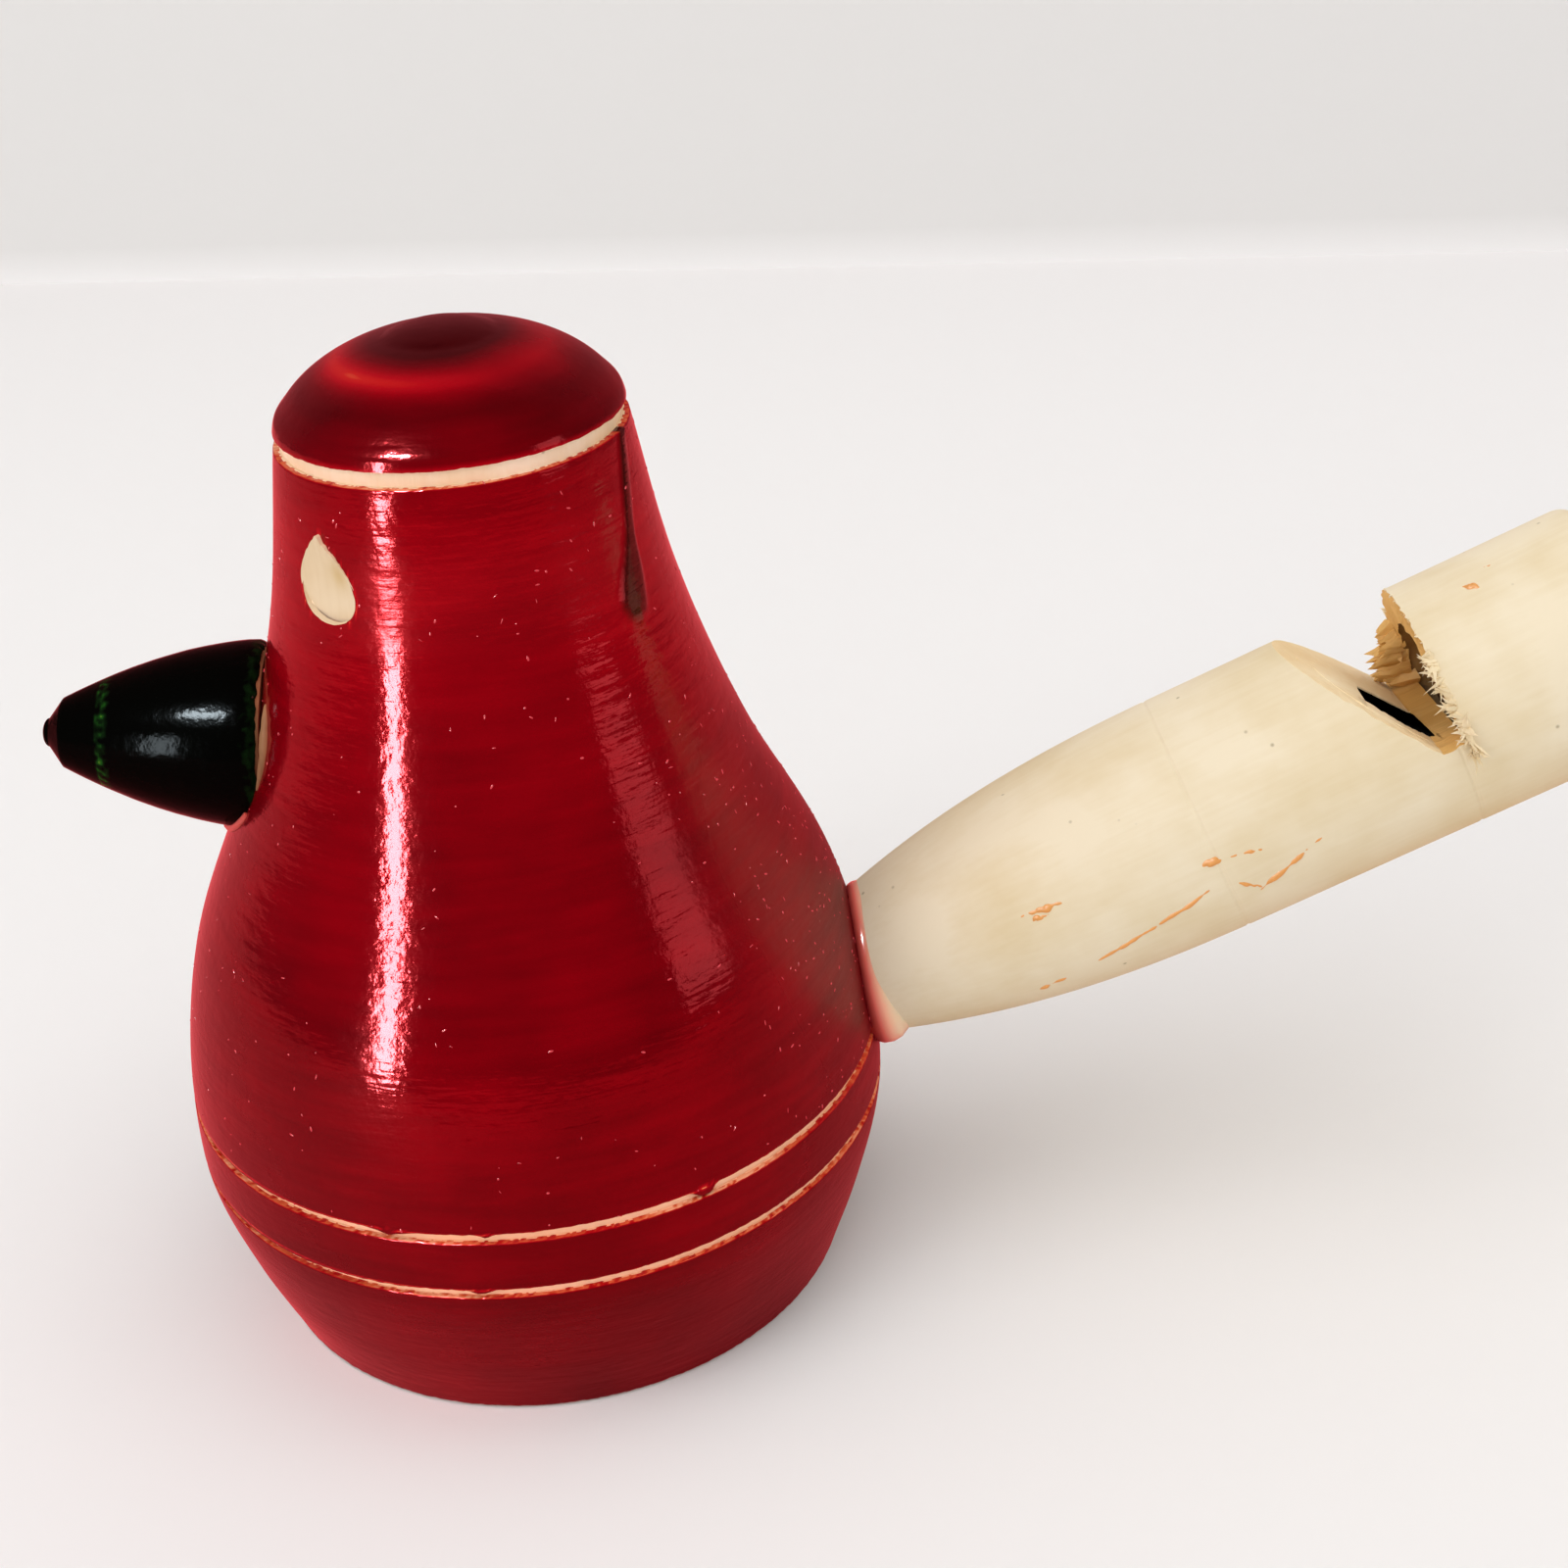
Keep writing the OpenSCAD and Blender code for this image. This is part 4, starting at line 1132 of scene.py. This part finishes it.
# %% Draw the strokes
smear, tree, shader = new_material("rubbed_off_lac", Roughness=0.5, Specular_IOR_Level=0.2)
shader.inputs["Base Color"].default_value = colour("#DF9C55")
strokes = [((9.4, 69), (12.6, 71), 0.24, 0.35), ((10.2, 73), (11.6, 74), 0.2, 0.2),
           ((19.4, 81), (21.4, 83), 0.28, 0.5), ((21.4, 83), (23.8, 87), 0.18, 0.2),
           ((21.6, 110), (26.9, 91.5), 0.24, 0.5), ((11.2, 113), (20.7, 93), 0.2, 0.5),
           ((21.0, 95), (22.6, 108), 0.16, 0.2), ((8.2, 120), (11.0, 114), 0.18, 0.2),
           ((38.8, 11), (39.8, 17), 0.24, 0.5), ((40.2, 4), (40.9, 7), 0.24, 0.4)]
marks = []
for number, ((s0, a0), (s1, a1), half, least) in enumerate(strokes):
    part = np.linspace(0, 1, 90)
    s = s0 + (s1 - s0) * part
    wobble = 0.12 * np.array([noise.noise(Vector((v * 6, number, 0))) for v in part])
    path = [on_tube(v, a0 + (a1 - a0) * u + 8 * w, swell_r(v) - 0.5 * half) for v, u, w in zip(s, part, wobble)]
    marks.append(run_tree(bead, chain_mesh(path, np.sin(np.linspace(0.3, math.pi - 0.3, 90))), Radius=half * mm,
                          Lump_Size=0.6 * mm, Least=least, Seed=10.0 + number, Finish=smear))
drawn = join("strokes", marks, smear)
drawn.transform(tail_frame)
keep_piece("lac_strokes", close_shell(drawn), "red_lac")

# %% [markdown]
# ## Nibs in the lac
# Dust and crumbs of lac that fell on the hot skin stayed in it as tiny bright nibs. They lie scattered over the
# body, in drifts, so a tree throws points on the outer side of the body's coat and sets a flat bead on each. Their
# colour is a paler red than the lac round them, a painted glint, so to the eye they are pale red specks that
# catch the light.

# %% Build the nibs
nibs, given, result = new_tree("lac_nibs", {
    "Per Square Metre": "Float", "Size": "Float", "Drift": "Float", "Seed": "Int", "Finish": "Material"})
normal = add(nibs, "GeometryNodeInputNormal")
outward = add(nibs, "ShaderNodeVectorMath", {
    0: add(nibs, "GeometryNodeInputPosition"), 1: (1, 1, 0)}, operation="MULTIPLY")
facing_out = add(nibs, "ShaderNodeVectorMath", {0: normal, 1: outward}, operation="DOT_PRODUCT").outputs["Value"]
drift = add(nibs, "ShaderNodeTexNoise", {
    "Scale": add(nibs, "ShaderNodeMath", {0: 1, 1: given["Drift"]}, operation="DIVIDE"), "Detail": 2.0})
drift = add(nibs, "ShaderNodeMapRange", {0: drift, 1: 0.42, 2: 0.68, 3: 0.06, 4: 1.0})
dusty = add(nibs, "GeometryNodeInputNamedAttribute", {0: "dusty"}, data_type="FLOAT")
dusty = add(nibs, "ShaderNodeMath", {0: dusty, 1: 2.5}, operation="MULTIPLY")
drift = add(nibs, "ShaderNodeMath", {0: dusty, 1: drift}, operation="ADD")
density = add(nibs, "ShaderNodeMath", {0: drift, 1: given["Per Square Metre"]}, operation="MULTIPLY")
thrown = add(nibs, "GeometryNodeDistributePointsOnFaces", {
    "Mesh": given["Geometry"], "Selection": facing_out, "Density": density, "Seed": given["Seed"]})
grain = add(nibs, "GeometryNodeMeshIcoSphere", {"Radius": given["Size"], "Subdivisions": 2})
size = add(nibs, "FunctionNodeRandomValue", {
    0: (0.3, 0.2, 0.15), 1: (1.7, 0.7, 0.5), "Seed": given["Seed"]}, data_type="FLOAT_VECTOR")
spin = add(nibs, "FunctionNodeRandomValue", {
    0: (0, 0, 0), 1: (0, 0, math.tau), "Seed": given["Seed"]}, data_type="FLOAT_VECTOR")
turned = add(nibs, "FunctionNodeRotateRotation", {0: thrown.outputs["Rotation"], 1: spin}, rotation_space="LOCAL")
stuck = add(nibs, "GeometryNodeInstanceOnPoints", {
    0: thrown, "Instance": grain, "Rotation": turned, "Scale": size})
real = add(nibs, "GeometryNodeRealizeInstances", {0: stuck})
finished = add(nibs, "GeometryNodeSetMaterial", {0: real, "Material": given["Finish"]})
nibs.links.new(finished.outputs[0], result)
print("nibs:", len(nibs.nodes), "nodes")

# %% Scatter the nibs
# Painted glint: the crumbs are a paler red than the lac they came from.
crumb, tree, shader = new_material("crumbs_of_lac", Roughness=0.2, IOR=1.5)
shader.inputs["Base Color"].default_value = colour("#D2404A")
nib_mesh = run_tree(nibs, body_coat.data.copy(), Per_Square_Metre=0.3 / mm ** 2, Size=0.09 * mm, Drift=9 * mm,
                    Seed=21, Finish=crumb)
keep_piece("lac_nibs", close_shell(nib_mesh, 70), "red_lac")

# %% [markdown]
# ## Floor, backdrop and light
# The bird stands on a sheet of pale matt paper, which shows only soft shade, and the sheet turns up behind it. A
# wide soft lamp above gives the even light, and a smaller one at the front left gives shape. Three cards show
# only in the gloss: a tall one as the long highlight on the body, a high one as the spot on the beak and the
# glint on the rim of the crown, and a faint one at the right as the second reflection. Lac colours what it
# mirrors, and near its outline the tint of a shader cannot do that, so rays that leave a gloss find the floor,
# the wall and the room dim and red, and the camera finds them pale.

# %% Set the stage
floor_in_gloss = (1.0, 0.12, 0.14, 1)
wall_in_gloss = (0.35, 0.05, 0.06, 1)
pale, tree, shader = new_material("pale_paper", Roughness=0.9, Specular_IOR_Level=0.1)
height = add(tree, "ShaderNodeSeparateXYZ", {0: add(tree, "ShaderNodeTexCoord").outputs["Object"]}).outputs["Z"]
up_wall = add(tree, "ShaderNodeMapRange", {0: height, 1: 0.0, 2: 5 * mm, 3: 0.0, 4: 1.0})
paint = add(tree, "ShaderNodeMix", {0: up_wall, 6: colour("#EDECEC"), 7: colour("#DFDEDD")}, data_type="RGBA")
in_gloss = add(tree, "ShaderNodeLightPath").outputs["Is Glossy Ray"]
mirrored = add(tree, "ShaderNodeMix", {0: up_wall, 6: floor_in_gloss, 7: wall_in_gloss}, data_type="RGBA")
seen = add(tree, "ShaderNodeMix", {0: in_gloss, 6: paint.outputs[2], 7: mirrored.outputs[2]}, data_type="RGBA")
tree.links.new(seen.outputs[2], shader.inputs["Base Color"])
wall_left = Vector((-86.2, 227.5, 0)) * mm
wall_right = Vector((127.5, 178.6, 0)) * mm
wall_way = (wall_right - wall_left).normalized()
wall_back = Vector((-wall_way.y, wall_way.x, 0))
near = -700 * mm
half_width = 900 * mm
wall_height = 700 * mm
middle = (wall_left + wall_right) / 2
section = [(wall_back * near, 0), (Vector((0, 0, 0)), 0), (Vector((0, 0, 0)), wall_height)]
sheet_points = [middle + side * half_width * wall_way + back + Vector((0, 0, high))
                for back, high in section for side in (-1, 1)]
paper = bpy.data.meshes.new("paper")
paper.from_pydata(sheet_points, [], [(2 * i, 2 * i + 1, 2 * i + 3, 2 * i + 2) for i in range(len(section) - 1)])
paper.materials.append(pale)
stage = bpy.data.objects.new("paper_sweep", paper)
scene.collection.objects.link(stage)
print("the wall stands", round(middle.y / mm), "mm behind the bird")


# %% Hang the lamps
def hang_lamp(name, place_mm, aim_mm, size_mm, watts, hidden_from):
    """A rectangular soft lamp at a place, turned to face another, that one kind of ray doesn't see."""
    lamp = bpy.data.lights.new(name, "AREA")
    lamp.shape = "RECTANGLE"
    lamp.size, lamp.size_y = (v * mm for v in size_mm)
    lamp.energy = watts
    holder = bpy.data.objects.new(name, lamp)
    way = (Vector(aim_mm) - Vector(place_mm)).normalized()
    facing = way.to_track_quat("-Z", "Y").to_matrix().to_4x4()
    holder.matrix_world = Matrix.Translation(Vector(place_mm) * mm) @ facing
    scene.collection.objects.link(holder)
    setattr(holder, hidden_from, False)
    print(name, "of", watts, "W")


hang_lamp("soft_overhead", (90, -60, 520), (40, 0, 0), (420, 420), 0.55, "visible_glossy")
hang_lamp("soft_front_left", (-570, -390, 340), (0, 0, 20), (360, 360), 1.0, "visible_glossy")
hang_lamp("window_card", (-313, -324, 103), (0, 0, 103), (52, 174), 2.6, "visible_diffuse")
hang_lamp("beak_card", (-205, -243, 367), (-14, -4, 37), (100, 66), 11, "visible_diffuse")
hang_lamp("side_card", (276, -127, 88), (10, 0, 88), (105, 73), 0.05, "visible_diffuse")

# %% Fill the room
room_light = 1.0
room_in_gloss = (0.34, 0.04, 0.05, 1)

world = bpy.data.worlds.new("room")
world.use_nodes = True
tree = world.node_tree
in_gloss = add(tree, "ShaderNodeLightPath").outputs["Is Glossy Ray"]
pale_room = tuple(room_light * part for part in colour("#F4F2F0")[:3])
seen = add(tree, "ShaderNodeMix", {0: in_gloss, 6: (*pale_room, 1), 7: room_in_gloss}, data_type="RGBA")
tree.links.new(seen.outputs[2], tree.nodes["Background"].inputs["Color"])
scene.world = world
scene.view_settings.view_transform = "Standard"
print("room light:", room_light)
